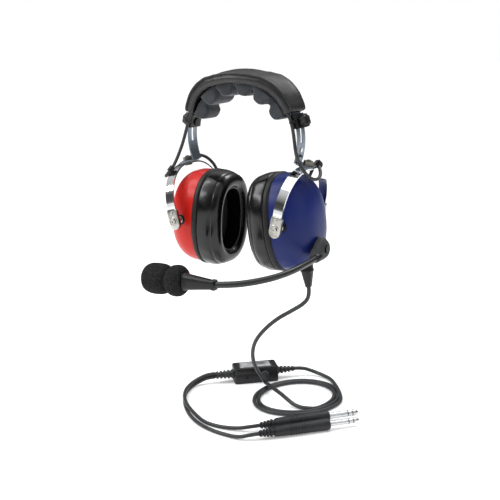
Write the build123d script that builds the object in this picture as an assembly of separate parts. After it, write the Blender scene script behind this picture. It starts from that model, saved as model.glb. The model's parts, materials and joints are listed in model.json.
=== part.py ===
from build123d import *
import math
import os

# Aviation headset, millimetres. The origin is the centre of the wearer's head on the ear axis.
# +Z is up, the wearer faces -Y, and the wearer's left (blue cup, boom and cord) is +X.

# --- driving dimensions -------------------------------------------------------------------
run_gap = 0.05            # radial clearance of a pin that turns in a hole
slide_gap = 0.1           # clearance each side of a strap that slides

spring_inner = 62.4       # inner radius of the spring strip
spring_thick = 1.0
spring_width = 16.0
spring_end = 9.0          # degrees above the horizontal where the spring strip stops
arm_thick = 1.5
arm_width = 15.0
cover_inner = 57.5
cover_outer = 68.0
cover_end = 23.0          # degrees above the horizontal where the padded cover stops
cover_half_width = 24.0
cover_end_half_width = 14.6
cover_corner = 4.5
pad_depth = 12.0
pad_half_width = 19.0
pad_count = 6
pad_pitch = 22.0          # degrees from lump to lump
pad_span = 19.0           # degrees that one lump covers

clamp_low = 9.0           # degrees, lower end of the clamp block
clamp_high = 21.5
clamp_wall = 2.2
clamp_half_width = 9.7
knob_angle = 14.5
knob_radius = 6.6
knob_length = 7.0
knob_lobes = 6
knob_lobe_depth = 1.1
screw_radius = 2.0
arm_slot_width = 4.6
arm_slot_below = 4.0      # degrees that the slot runs below the horizontal
arm_top = 25.0            # degrees, upper end of the arm strap at rest
arm_bottom = -21.5        # degrees, where the arm meets its foot
arm_join = 11.668         # strap's end to the swivel's axis, along the foot
arm_rise = 0.569          # strap's end above the foot's middle
rivet_head = 2.2

yoke_lean = 12.4          # degrees that the yoke leans outward
yoke_side_gap = 9.8       # dome's widest point to the inner face of the strap's legs
yoke_inner_top = 54.0     # inner face of the strap's crown, above the pivot
yoke_flat = 5.6           # straight stretch each side of the crown's middle
yoke_thick = 1.8
yoke_width = 9.6
foot_thick = 1.6
foot_in = 11.5
foot_out = 7.5
swivel_radius = 2.0
nut_radius = 4.3
nut_height = 4.2
end_width = 12.0
end_top = 12.5
end_bottom = 9.0
end_wall = 1.5
pin_radius = 2.0
pin_head_radius = 3.6
pin_head = 1.2
pin_engage = 9.8          # how far the pivot pins reach inside the dome's widest point
spacer_radius = 3.8
spacer_gap = 0.8          # between a spacer and the widest part of the dome beside it

cup_tilt = 4.5            # degrees that each cup leans its top inward at rest
seal_face = 43.0          # seal's inner face, inboard of the pivot
seal_thick = 23.5
seal_pad_y = 16.3         # cushion's width round its opening
seal_pad_z = 16.0
seal_round = 9.0
seal_lip = 6.0
ring_thick = 6.0
ring_margin = 1.5
ring_band = 11.3          # ring's width round its opening
dome_half_y = 35.8
dome_half_z = 48.7
dome_depth = 37.8
dome_skirt = 6.0          # straight stretch before the dome turns in
dome_wall = 2.4
boss_radius = 5.5
speaker_radius = 18.0
speaker_depth = 8.0
plate_thick = 2.0
mesh_thick = 1.0
liner_inset_y = 5.0       # liner inside the ring's opening
liner_inset_z = 4.0
liner_thick = 14.0

boom_y = -6.0             # boom pivot, an axis along X
boom_z = -25.0
boom_seat = 25.0          # from the cup's pivot to the face between the fixed boss and the turning housing
boss_depth = 10.0
boom_boss_radius = 9.0
housing_radius = 11.0
housing_thick = 9.0
wing_y = -22.0
wing_z = -30.5
wing_radius = 5.2
bolt_radius = 2.5
bolt_head_radius = 4.2
bolt_head = 1.6
boom_radius = 2.75
boom_out = 31.0           # from the cup's pivot to the boom's line
boom_bend = 56.0          # radius of the boom's long sweep
mic_y = -120.0
mic_z = -40.0
mic_body_end = 36.0       # x of the narrow end of the microphone's body
mic_body_start = 2.0
mic_end_half = 4.4
mic_start_half = 7.4
mic_half_depth = 5.6
foam_radius = 14.7
foam_length = 44.0
foam_cap = 9.0
foam_groove_x = -19.0
foam_groove = 2.4
capsule_radius = 4.8
capsule_length = 14.0

lead_radius = 1.7         # lead that crosses the headband
lead_y = -11.6            # its place across the headband
lead_arc = 62.0           # its radius inside the cover
clip_wall = 1.4
clip_length = 6.0

floor_z = -200.0          # the surface that the long cord lies on
cord_radius = 2.1
twin_radius = 1.9
gland_x = 8.0             # from the pivot, in the cup's frame
gland_y = -6.0
gland_root_z = -38.0
gland_tip_z = -66.0
gland_root_radius = 6.0
gland_tip_radius = 2.9

coil_x = 38.0
coil_y = 26.0
coil_half_x = 49.0
coil_half_y = 54.0
coil_width = 15.0
coil_height = 8.6

box_x = -32.3
box_y = 56.8
box_turn = 40.4           # degrees, direction of the box's long side
box_length = 50.0
box_width = 25.0
box_height = 18.0
box_split = 10.0          # height of the lower shell
box_wall = 1.8
box_round = 3.0
relief_length = 21.0
relief_z = 9.0            # axis of the box's reliefs above the surface
relief_root = 4.6
relief_tip = 3.0
dial_radius = 5.0
dial_length = 4.5
dial_along = 9.0          # along the box from its middle
dial_z = 9.2
label_length = 34.0
label_width = 17.0
label_thick = 0.5

handle_length = 57.0
handle_root_radius = 5.0
handle_end_radius = 6.0
plug_relief_length = 15.0
plug_relief_tip = 2.6
plug_turn = 46.0          # degrees, direction that the plugs point
phone_pin_radius = 3.15
mic_pin_radius = 2.6
pin_length = 31.0
pin_cone = 3.2
ring_groove = 0.45

# --- what follows from them ---------------------------------------------------------------
arm_inner = spring_inner + spring_thick + slide_gap
arm_outer = arm_inner + arm_thick
channel_outer = arm_outer + slide_gap
yoke_outer_top = yoke_inner_top + yoke_thick
foot_low = yoke_outer_top + slide_gap
foot_high = foot_low + foot_thick
foot_mid = (foot_low + foot_high) / 2
arm_mid = (arm_inner + arm_outer) / 2
pivot_x = (arm_mid * math.cos(math.radians(arm_bottom)) + arm_join * math.cos(math.radians(yoke_lean))
           - foot_mid * math.sin(math.radians(yoke_lean)))      # the cup's pivot axis, along Y
band_centre_z = (foot_mid * math.cos(math.radians(yoke_lean)) + arm_join * math.sin(math.radians(yoke_lean))
                 + arm_rise - arm_mid * math.sin(math.radians(arm_bottom)))
yoke_half_span = dome_half_y + yoke_side_gap
yoke_corner = yoke_half_span - yoke_flat
pin_inner_y = dome_half_y - pin_engage
seal_half_y = dome_half_y + ring_margin
seal_half_z = dome_half_z + ring_margin
seal_open_y = seal_half_y - seal_pad_y
seal_open_z = seal_half_z - seal_pad_z
ring_open_y = seal_half_y - ring_band
ring_open_z = seal_half_z - ring_band
liner_half_y = ring_open_y - liner_inset_y
liner_half_z = ring_open_z - liner_inset_z
ring_in = seal_thick - seal_face            # ring's inner face, in the cup's frame
base_x = ring_in + ring_thick               # dome's base
boom_seat_x = pivot_x + boom_seat
boss_inner_x = boom_seat_x - boss_depth
boom_x = pivot_x + boom_out
boom_points = [(boom_x, -18, -30.5), (boom_x, -76, -34), (boom_x - 16, -104, -37), (46, -120, -39.5), (34, -120, -40)]
end_outer = yoke_half_span + yoke_thick + end_wall
end_inner = yoke_half_span - end_wall
spacer_inner_y = dome_half_y + spacer_gap
arc_axis = Axis((0, 0, band_centre_z), (0, 1, 0))
to_yoke = Location((pivot_x, 0, 0), (0, yoke_lean, 0))
to_cup = Location((pivot_x, 0, 0), (0, -cup_tilt, 0))

os.makedirs("parts", exist_ok=True)
written = []


def save(name, shape):
    """Write one node."""
    solids = shape.solids()
    export_step(Compound(children=list(solids)) if len(solids) > 1 else solids[0], f"parts/{name}.step")
    written.append(name)


def both(name, shape):
    """Write a left-hand piece and its mirror image on the right."""
    save(name + "_left", shape)
    save(name + "_right", mirror(shape, about=Plane.YZ))


def group(*shapes):
    """Separate solids that share one node."""
    return Compound(children=[solid for shape in shapes for solid in shape.solids()])


def arc_block(inner, outer, half_width, start, end, corner=0.0):
    """A block that follows the headband's arc, from one angle above +X to another."""
    middle = (inner + outer) / 2
    place = Plane(origin=(middle, 0, band_centre_z), x_dir=(1, 0, 0), z_dir=(0, 0, 1))
    if corner:
        outline = place * RectangleRounded(outer - inner, 2 * half_width, corner)
    else:
        outline = place * Rectangle(outer - inner, 2 * half_width)
    block = revolve(outline, axis=arc_axis, revolution_arc=end - start)
    return block.rotate(arc_axis, -end)


def on_arc(radius, angle, y=0.0):
    """A place on the headband's arc whose z axis points outward."""
    turn = math.radians(angle)
    out = (math.cos(turn), 0, math.sin(turn))
    centre = (radius * out[0], y, band_centre_z + radius * out[2])
    return Plane(origin=centre, x_dir=(0, 1, 0), z_dir=out)


def rod(start, direction, radius, length):
    """A cylinder from a point along a direction."""
    return extrude(Plane(origin=start, z_dir=direction) * Circle(radius), length)


def taper(start, direction, radius, end_radius, length):
    """A cone's frustum from a point along a direction."""
    near = Plane(origin=start, z_dir=direction)
    return near * Cone(radius, end_radius, length, align=(Align.CENTER, Align.CENTER, Align.MIN))


def oval(x, half_y, half_z, length):
    """An elliptical block along X, in the cup's frame."""
    face = Plane(origin=(x, 0, 0), x_dir=(0, 1, 0), z_dir=(1, 0, 0)) * Ellipse(half_y, half_z)
    return extrude(face, length)


def tube(name, points, radius, bends=None):
    """A round cord: straight runs joined by arcs as large as the runs allow."""
    pts = [Vector(*p) for p in points]
    if bends is None:
        bends = []
        for before, here, after in zip(pts, pts[1:], pts[2:]):
            into, out = here - before, after - here
            half = math.radians(into.get_angle(out)) / 2
            bends.append(0.45 * min(into.length, out.length) / math.tan(half))
    path = FilletPolyline(*pts, radius=bends)
    section = Plane(origin=path @ 0, z_dir=path % 0) * Circle(radius)
    solid = sweep(section, path=path)
    plain = math.pi * radius ** 2 * path.length
    print(name, "length", round(path.length, 1), "volume ratio", round(solid.volume / plain, 4),
          "radii", [round(b) for b in bends])
    return solid


# --- headband -----------------------------------------------------------------------------
def headband_spring():
    strip = arc_block(spring_inner, spring_inner + spring_thick, spring_width / 2, spring_end, 180 - spring_end)
    for angle in (knob_angle, 180 - knob_angle):
        strip -= extrude(on_arc(spring_inner - 2, angle) * Circle(screw_radius + run_gap), 6)
    return strip


def cover_plan(margin=0.0):
    """Outline of the cover from above: wide over the crown, narrow at the ends."""
    half, narrow = cover_half_width - margin, cover_end_half_width - margin
    reach = cover_outer + 2
    curve = Spline((-reach, narrow), (-reach * 0.72, half * 0.86), (0, half), (reach * 0.72, half * 0.86),
                   (reach, narrow), tangents=[(1, 0.55), (1, -0.55)])
    other = mirror(curve, about=Plane.XZ)
    ends = [Line(curve @ 0, other @ 0), Line(curve @ 1, other @ 1)]
    return make_face(Wire([curve.edge(), other.edge(), *[e.edge() for e in ends]]))


def headband_cover():
    body = arc_block(cover_inner, cover_outer, cover_half_width, cover_end, 180 - cover_end, cover_corner)
    body &= extrude(Plane.XY * cover_plan(), band_centre_z + cover_outer + 10)
    channel = arc_block(spring_inner, channel_outer, spring_width / 2 + slide_gap, cover_end - 5, 185 - cover_end)
    body -= channel
    groove = Plane(origin=(lead_arc, lead_y, band_centre_z), z_dir=(0, 0, 1)) * Circle(lead_radius + slide_gap)
    groove = revolve(groove, axis=arc_axis, revolution_arc=190 - 2 * cover_end)
    return body - groove.rotate(arc_axis, -(185 - cover_end))


def headband_pad():
    lumps = []
    outer = cover_inner
    for index in range(pad_count):
        centre = 90 + pad_pitch * (index - (pad_count - 1) / 2)
        lump = arc_block(outer - pad_depth, outer, pad_half_width, centre - pad_span / 2, centre + pad_span / 2)
        lumps.append(lump)
    plan = extrude(Plane.XY * cover_plan(2.0), band_centre_z + cover_outer)
    return Compound(children=[(lump & plan).solids()[0] for lump in lumps])


def lead_in_band():
    ring = Plane(origin=(lead_arc, lead_y, band_centre_z), z_dir=(0, 0, 1)) * Circle(lead_radius)
    ring = revolve(ring, axis=arc_axis, revolution_arc=180 - 2 * cover_end)
    return ring.rotate(arc_axis, -(180 - cover_end))


def clamp_block():
    low, high = spring_inner - clamp_wall, channel_outer + clamp_wall
    block = arc_block(low, high, clamp_half_width, clamp_low, clamp_high, 1.5)
    block -= arc_block(spring_inner, channel_outer, spring_width / 2 + slide_gap, clamp_low - 2, clamp_high + 2)
    block -= extrude(on_arc(low - 2, knob_angle) * Circle(screw_radius * 2 + run_gap), 2)
    return block - extrude(on_arc(low - 1, knob_angle) * Circle(screw_radius + run_gap), 12)


def clamp_screw():
    """A square-necked screw through the clamp, with the knob on its outer end."""
    low, high = spring_inner - clamp_wall, channel_outer + clamp_wall
    shank = extrude(on_arc(low, knob_angle) * Circle(screw_radius), high - low + knob_length - 1.5)
    head = extrude(on_arc(low - 1.6, knob_angle) * Circle(screw_radius * 2), 1.6)
    return shank + head


def knob():
    high = channel_outer + clamp_wall
    seat = on_arc(high + slide_gap, knob_angle)
    body = extrude(seat * Circle(knob_radius), knob_length)
    neck = extrude(seat * (Circle(knob_radius) - Circle(knob_radius * 0.72)), 1.6)
    body -= neck
    for index in range(knob_lobes):
        turn = math.radians(360 / knob_lobes * (index + 0.5))
        reach = knob_radius + 2.4 - knob_lobe_depth
        spot = Pos(reach * math.cos(turn), reach * math.sin(turn)) * Circle(2.4)
        body -= extrude(seat * spot, knob_length)
    body -= extrude(seat * Circle(screw_radius + run_gap), knob_length - 1.4)
    return body


# --- arm, swivel and yoke -----------------------------------------------------------------
def arm():
    strap = arc_block(arm_inner, arm_outer, arm_width / 2, arm_bottom, arm_top)
    foot = Plane.XY.offset(foot_low) * Pos((foot_out - foot_in) / 2, 0) * RectangleRounded(
        foot_in + foot_out, arm_width - 1, 3)
    foot = to_yoke * extrude(foot, foot_thick)
    body = strap + foot
    slot = arc_block(arm_inner - 2, arm_outer + 2, arm_slot_width / 2, -arm_slot_below, knob_angle + 4)
    body -= slot
    return body - to_yoke * Pos(0, 0, foot_low - 2) * Cylinder(
        swivel_radius + run_gap, 8, align=(Align.CENTER, Align.CENTER, Align.MIN))


def arm_rivets():
    """Two rivets below the slot, flush on the inner face."""
    rivets = []
    for angle in (-arm_slot_below - 6.0, -arm_slot_below - 11.0):
        rivets.append(extrude(on_arc(arm_outer, angle) * Circle(rivet_head), 0.7))
    return Compound(children=[r.solids()[0] for r in rivets])


def swivel_bolt():
    """Bolt with a washer under the foot's nut, its head inside the yoke's crown."""
    low = yoke_inner_top - 1.4 - run_gap
    shank = Pos(0, 0, low) * Cylinder(swivel_radius, foot_high - low + nut_height + 1.2,
                                      align=(Align.CENTER, Align.CENTER, Align.MIN))
    head = Pos(0, 0, low) * Cylinder(swivel_radius * 1.9, 1.4, align=(Align.CENTER, Align.CENTER, Align.MIN))
    return to_yoke * (shank + head)


def swivel_nut():
    nut = extrude(Plane.XY.offset(foot_high) * RegularPolygon(nut_radius, 4, major_radius=False), nut_height)
    nut -= Pos(0, 0, foot_high) * Cylinder(swivel_radius, nut_height, align=(Align.CENTER, Align.CENTER, Align.MIN))
    nut = chamfer(nut.edges().filter_by(Axis.Z).sort_by_distance((0, 0, foot_high))[-4:], 1.0)
    return to_yoke * nut


def yoke():
    """A stirrup of flat strap round the cup, in a plane that leans outward."""
    mid_y, mid_z = yoke_half_span + yoke_thick / 2, yoke_inner_top + yoke_thick / 2
    path = FilletPolyline((0, -mid_y, 0), (0, -mid_y, mid_z), (0, mid_y, mid_z), (0, mid_y, 0), radius=yoke_corner)
    section = Plane(origin=path @ 0, x_dir=(1, 0, 0), z_dir=(0, 0, 1)) * Rectangle(yoke_width, yoke_thick)
    strap = sweep(section, path=path)
    strap -= Pos(0, 0, mid_z) * Cylinder(swivel_radius + run_gap, 8)
    strap -= Plane.XZ * extrude(Circle(pin_radius + run_gap), 60, both=True)
    return to_yoke * strap


def yoke_ends():
    """Cast end fittings that sleeve the strap's two tips."""
    ends = []
    for side in (-1, 1):
        middle = side * (end_inner + end_outer) / 2
        depth = end_outer - end_inner
        block = Pos(0, middle, (end_top - end_bottom) / 2) * Box(end_width, depth, end_top + end_bottom)
        lower = block.edges().filter_by(Axis.Y).group_by(Axis.Z)[0]
        block = fillet(lower, end_width / 2 - 0.2)
        pocket = Pos(0, side * (yoke_half_span + yoke_thick / 2), end_top / 2) * Box(yoke_width, yoke_thick, end_top)
        block -= pocket
        block -= Plane.XZ * extrude(Circle(pin_radius), 60, both=True)
        ends.append(block.solids()[0])
    return to_yoke * Compound(children=ends)


def yoke_pins():
    """Shouldered pivot pins: head outside the end fitting, spacer between it and the dome."""
    pins = []
    for side in (-1, 1):
        toward = (0, -side, 0)
        pin = rod((0, side * (end_outer + pin_head), 0), toward, pin_radius, end_outer + pin_head - pin_inner_y)
        pin += rod((0, side * (end_outer + pin_head), 0), toward, pin_head_radius, pin_head)
        pins.append(pin.solids()[0])
        spacer = rod((0, side * end_inner, 0), toward, spacer_radius, end_inner - spacer_inner_y)
        pins.append((spacer - pin).solids()[0])
    return Pos(pivot_x, 0, 0) * Compound(children=pins)


# --- ear cup ------------------------------------------------------------------------------
def dome_solid(inset=0.0):
    """The dome's outer form, or its cavity when inset by the wall."""
    tall, deep = dome_half_z - inset, dome_depth - inset
    start = base_x - (1.0 if inset else 0.0)
    knee = base_x + dome_skirt
    curve = EllipticalCenterArc((knee, 0), deep - dome_skirt, tall, start_angle=0, arc_size=90)
    outline = make_face([
        curve.edge(),
        Line((knee, tall), (start, tall)).edge(),
        Line((start, tall), (start, 0)).edge(),
        Line((start, 0), (base_x + deep, 0)).edge(),
    ])
    body = revolve(Plane.XZ * outline, axis=Axis.X, revolution_arc=360)
    return scale(body, by=(1, (dome_half_y - inset) / tall, 1))


def cup_shell(boom_side):
    body = dome_solid() - dome_solid(dome_wall)
    for side in (-1, 1):
        boss = rod((0, side * (pin_inner_y - 3), 0), (0, side, 0), boss_radius, 14)
        body += boss & dome_solid()
    body -= rod((0, -60, 0), (0, 1, 0), pin_radius + run_gap, 120)
    placed = to_cup * body
    if boom_side:
        placed -= rod((pivot_x, boom_y, boom_z), (1, 0, 0), bolt_radius, 40)
        placed -= to_cup * rod((gland_x, gland_y, gland_root_z + 12), (0, 0, -1), cord_radius + 0.3, 30)
        return placed
    return mirror(placed, about=Plane.YZ)


def ear_seal():
    """Closed cushion with an oval opening, rounded on the side that meets the head."""
    body = oval(-seal_face, seal_half_y, seal_half_z, seal_thick)
    body -= oval(-seal_face - 1, seal_open_y, seal_open_z, seal_thick + 2)
    rims = body.edges().group_by(Axis.X)[0].sort_by(SortBy.LENGTH)
    body = fillet(rims[-1], seal_round)
    rims = body.edges().group_by(Axis.X)[0].sort_by(SortBy.LENGTH)
    return to_cup * fillet(rims[0], seal_lip)


def backing_ring():
    body = oval(ring_in, dome_half_y + ring_margin, dome_half_z + ring_margin, ring_thick)
    return to_cup * (body - oval(ring_in - 1, ring_open_y, ring_open_z, ring_thick + 2))


def speaker_plate():
    body = oval(ring_in + mesh_thick, ring_open_y, ring_open_z, plate_thick)
    return to_cup * (body - rod((ring_in - 1, 0, 0), (1, 0, 0), speaker_radius, 10))


def speaker():
    start = ring_in + mesh_thick
    body = rod((start, 0, 0), (1, 0, 0), speaker_radius, plate_thick)
    body += rod((start + plate_thick, 0, 0), (1, 0, 0), speaker_radius * 0.6, speaker_depth - plate_thick)
    return to_cup * body


def speaker_mesh():
    return to_cup * oval(ring_in, ring_open_y, ring_open_z, mesh_thick)


def cup_liner():
    """Sound-deadening foam behind the speaker, recessed round its magnet."""
    start = ring_in + mesh_thick + plate_thick
    body = oval(start, liner_half_y, liner_half_z, liner_thick)
    pocket = rod((start, 0, 0), (1, 0, 0), speaker_radius * 0.6, speaker_depth - plate_thick)
    return to_cup * (body - pocket)


# --- boom and microphone ------------------------------------------------------------------
def boom_boss():
    body = rod((boss_inner_x, boom_y, boom_z), (1, 0, 0), boom_boss_radius, boom_seat_x - boss_inner_x)
    body -= to_cup * dome_solid()
    return body - rod((pivot_x, boom_y, boom_z), (1, 0, 0), bolt_radius, 40)


def boom_bolt():
    end = boom_seat_x + run_gap + housing_thick
    shank = rod((boss_inner_x, boom_y, boom_z), (1, 0, 0), bolt_radius, end - boss_inner_x)
    shank -= to_cup * dome_solid(dome_wall)
    return shank + rod((end, boom_y, boom_z), (1, 0, 0), bolt_head_radius, bolt_head)


def boom_tube():
    corners = len(boom_points) - 2
    bends = [boom_bend] * (corners - 1) + [boom_bend * 0.6]
    return tube("boom_tube", boom_points, boom_radius, bends)


boom_path_solid = boom_tube()


def boom_parts():
    """The stiff boom and its flexible end, parted square to the path."""
    near, far = Vector(*boom_points[1]), Vector(*boom_points[2])
    cut = Plane(origin=near + (far - near) * 0.5, z_dir=far - near)
    return [split(boom_path_solid, bisect_by=cut, keep=side) for side in (Keep.BOTTOM, Keep.TOP)]


def boom_housing():
    """Round pivot block that narrows into a wing where the boom comes out."""
    seat = Plane(origin=(boom_seat_x + run_gap, 0, 0), x_dir=(0, 1, 0), z_dir=(1, 0, 0))
    disc = Pos(boom_y, boom_z) * Circle(housing_radius)
    wing = Pos(wing_y, wing_z) * Circle(wing_radius)
    body = extrude(seat * make_hull([*disc.edges(), *wing.edges()]), housing_thick)
    body = fillet(body.edges().group_by(Axis.X)[-1], 2.0)
    body -= rod((pivot_x, boom_y, boom_z), (1, 0, 0), bolt_radius + run_gap, 40)
    return body - boom_path_solid


def mic_body():
    """Housing that widens from the boom to the windscreen."""
    narrow = Plane(origin=(mic_body_end, mic_y, mic_z), x_dir=(0, 1, 0), z_dir=(1, 0, 0)) * RectangleRounded(
        1.6 * mic_end_half, 2 * mic_end_half, 3.0)
    wide = Plane(origin=(mic_body_start, mic_y, mic_z), x_dir=(0, 1, 0), z_dir=(1, 0, 0)) * RectangleRounded(
        2 * mic_half_depth, 2 * mic_start_half, 3.0)
    body = loft([wide, narrow])
    return body - boom_path_solid


def mic_capsule():
    return rod((mic_body_start, mic_y, mic_z), (-1, 0, 0), capsule_radius, capsule_length)


def windscreen():
    """Foam sleeve over the capsule, with a groove between its two lobes."""
    right = mic_body_start
    body = rod((right, mic_y, mic_z), (-1, 0, 0), foam_radius, foam_length)
    body = fillet(body.edges().group_by(Axis.X)[0], foam_cap)
    body = fillet(body.edges().group_by(Axis.X)[-1], foam_cap * 0.5)
    ring = rod((foam_groove_x - 1.2, mic_y, mic_z), (1, 0, 0), foam_radius + 1, 2.4)
    ring -= rod((foam_groove_x - 1.2, mic_y, mic_z), (1, 0, 0), foam_radius - foam_groove, 2.4)
    return body - ring - mic_capsule()


# --- cords --------------------------------------------------------------------------------
lead_start = (lead_arc * math.cos(math.radians(cover_end)), lead_y,
              band_centre_z + lead_arc * math.sin(math.radians(cover_end)))
lead_next = (lead_start[0] + 3.2, lead_y, lead_start[2] - 7.6)
left_crown = [(5.0, -14.0, 30.0), (7.5, -16.2, 14.5), (15.0, -20.5, 2.5), (22.0, -15.5, -8.5), (25.5, -7.0, -11.0),
              (25.5, 1.5, -7.0), (20.6, 7.4, -0.4), (15.2, 17.6, 3.2), (8.5, 25.0, 3.0), (2.5, 31.0, -3.5)]
left_entry = [(-2.5, 32.5, 42.0), (-6.0, 29.5, 34.0), (-7.2, 26.5, 25.0)]
left_clip_run = 8         # the clip sits in the middle of the run that starts at this point
right_crown = [(4.5, -13.0, 33.0), (7.5, -17.5, 18.0), (11.1, -27.0, 0.4), (15.1, -32.8, -7.1), (20.7, -30.3, -11.4),
               (24.2, -20.5, -10.5), (25.0, -6.5, -7.0), (23.5, 7.0, -1.0), (17.5, 17.0, 6.0), (9.0, 25.5, 5.0),
               (2.0, 31.5, -3.0)]
right_entry = [(-3.0, 32.5, 41.5), (-6.0, 29.5, 34.0), (-7.2, 26.5, 25.0)]
right_clip_run = 4


def lead_route(side, crown, entry):
    """Crown points are given from the pivot and the yoke's top, entry points from the pivot."""
    points = [lead_start, lead_next]
    points += [(pivot_x + x, y, yoke_inner_top + z) for x, y, z in crown]
    points += [(pivot_x + x, y, z) for x, y, z in entry]
    return [(side * x, y, z) for x, y, z in points]


left_route = lead_route(1, left_crown, left_entry)
right_route = lead_route(-1, right_crown, right_entry)

gland_tip = to_cup * Pos(gland_x, gland_y, gland_tip_z)
drop_points = [tuple(gland_tip.position), (pivot_x + 13.9, -6.0, -74.5), (pivot_x + 8.0, -7.3, -83.0),
               (53.5, -8.0, -91.5),
               (35.5, -8.8, -102.5), (19.0, -9.0, -117.0), (6.0, -5.0, -132.0), (-3.0, 4.0, -149.0),
               (-9.0, 17.0, -166.0), (-10.5, 29.0, -180.0), (-5.5, 35.0, floor_z + coil_height - 1.5)]

box_out = (math.cos(math.radians(box_turn)), math.sin(math.radians(box_turn)), 0)
box_side = (box_out[1], -box_out[0], 0)


def box_point(along, across, height):
    """A point given along the box, across it towards its dial, and above the surface."""
    return (box_x + box_out[0] * along + box_side[0] * across,
            box_y + box_out[1] * along + box_side[1] * across, floor_z + height)


relief_right = box_point(box_length / 2 + relief_length, 0, relief_z)
relief_left = box_point(-box_length / 2 - relief_length, 0, relief_z)
coil_exit = (66.5, 72.5, floor_z + cord_radius + 0.1)
box_lead = [coil_exit, (52.0, 86.0, floor_z + cord_radius + 0.1), (36.0, 95.5, floor_z + cord_radius + 0.4),
            (20.5, 98.0, floor_z + cord_radius + 2.6), box_point(box_length / 2 + relief_length + 9, 0, relief_z),
            relief_right]

plug_out = (math.cos(math.radians(plug_turn)), math.sin(math.radians(plug_turn)), 0)


def before_plug(start):
    """The point where a lead straightens before its plug."""
    return tuple(s - 9 * d for s, d in zip(start, plug_out))


phone_start = (47.5, -68.5, floor_z + handle_end_radius)
mic_start = (57.0, -86.5, floor_z + handle_end_radius)
twin_z = floor_z + twin_radius + 0.05
twin_high = twin_z + 2 * twin_radius + 0.1
phone_lead = [box_point(-box_length / 2 - relief_length, 0, relief_z + 2),
              box_point(-box_length / 2 - relief_length - 8, 0, relief_z + 2), (-80.0, 15.0, twin_high + 1.8),
              (-82.0, 2.0, twin_high), (-77.0, -17.0, twin_high), (-66.0, -36.5, twin_high),
              (-49.5, -55.0, twin_high), (-31.0, -68.5, twin_z + 2.4), (-11.0, -78.5, twin_z),
              (10.0, -82.0, twin_z), (28.0, -80.5, twin_z + 0.8), before_plug(phone_start), phone_start]
mic_lead = [box_point(-box_length / 2 - relief_length, 0, relief_z - 2),
            box_point(-box_length / 2 - relief_length - 8, 0, relief_z - 2), (-80.0, 15.0, twin_z + 1.6),
            (-82.0, 2.0, twin_z), (-77.0, -17.0, twin_z), (-66.5, -37.0, twin_z),
            (-51.0, -56.5, twin_z), (-33.0, -73.5, twin_z), (-13.0, -86.0, twin_z),
            (8.0, -93.5, twin_z), (26.0, -96.5, twin_z), (40.5, -97.0, twin_z + 0.8), before_plug(mic_start), mic_start]


def crossover_lead(name, route):
    """The lead from the headband to the back of a cup, ending at the dome's surface."""
    cord = tube(name, route, lead_radius)
    dome = to_cup * dome_solid()
    return cord - (dome if route[0][0] > 0 else mirror(dome, about=Plane.YZ))


def cord_clip(route, run, strap, cord):
    """A short sleeve that holds the crossing lead against the yoke."""
    near, far = Vector(*route[run]), Vector(*route[run + 1])
    along = (far - near).normalized()
    body = rod(tuple((near + far) * 0.5 - along * (clip_length / 2)), tuple(along), lead_radius + clip_wall, clip_length)
    return body - cord - strap


def cord_gland():
    root = (gland_x, gland_y, gland_root_z)
    body = taper(root, (0, 0, -1), gland_root_radius, gland_tip_radius, gland_root_z - gland_tip_z)
    for index in range(4):
        low = gland_root_z - 14 - 4.2 * index
        ring = rod((gland_x, gland_y, low), (0, 0, -1), 9, 1.2)
        body -= ring - rod((gland_x, gland_y, low), (0, 0, -1), 4.4 - 0.45 * index, 1.2)
    return to_cup * body - to_cup * dome_solid()


def cord_coil():
    outer = Pos(coil_x, coil_y) * Ellipse(coil_half_x, coil_half_y)
    inner = Pos(coil_x, coil_y) * Ellipse(coil_half_x - coil_width, coil_half_y - coil_width)
    return extrude(Plane.XY.offset(floor_z) * (outer - inner), coil_height)


# --- control box --------------------------------------------------------------------------
box_frame = Plane(origin=(box_x, box_y, floor_z), x_dir=box_out, z_dir=(0, 0, 1))


def box_shell(low, high, top):
    body = extrude(box_frame.offset(low) * RectangleRounded(box_length, box_width, box_round), high - low)
    hollow = extrude(box_frame.offset(low if top else low + box_wall) * RectangleRounded(
        box_length - 2 * box_wall, box_width - 2 * box_wall, box_round - 1), high - low - box_wall)
    body -= hollow
    for side in (-1, 1):
        body -= rod(box_point(side * (box_length / 2 - 5), 0, relief_z), tuple(side * v for v in box_out),
                    relief_root, 6)
    return body - rod(box_point(dial_along, 0, dial_z), box_side, dial_radius * 0.5 + run_gap, 20)


def box_board():
    """Circuit board that carries the volume control."""
    return extrude(box_frame.offset(box_wall) * Rectangle(box_length - 8, box_width - 6), 1.6)


def volume_dial():
    face = box_width / 2 + 0.1
    body = rod(box_point(dial_along, face, dial_z), box_side, dial_radius, dial_length - 1.5)
    for index in range(12):
        turn = math.radians(30 * index)
        across = dial_radius * math.cos(turn)
        spot = box_point(dial_along + across, face, dial_z + dial_radius * math.sin(turn))
        body -= rod(spot, box_side, 0.35, dial_length)
    return body + rod(box_point(dial_along, face - 5, dial_z), box_side, dial_radius * 0.5, 5)


def label_plate():
    face = box_frame.offset(box_height) * RectangleRounded(label_length, label_width, 2)
    return extrude(face, label_thick)


def box_relief(side):
    """Ribbed strain relief with a shoulder inside the box wall."""
    out = tuple(side * v for v in box_out)
    start = box_point(side * (box_length / 2 - box_wall - 1), 0, relief_z)
    root = box_point(side * box_length / 2, 0, relief_z)
    body = rod(start, out, relief_root, box_wall + 1)
    tip = relief_tip if side > 0 else relief_tip + 0.9
    body += taper(root, out, relief_root, tip, relief_length)
    for index in range(5):
        along = box_length / 2 + 4 + 3.4 * index
        near = box_point(side * along, 0, relief_z)
        core = relief_root - (relief_root - tip) * (along - box_length / 2) / relief_length - 0.9
        body -= rod(near, out, 8, 1.4) - rod(near, out, core, 1.4)
    return body


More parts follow.
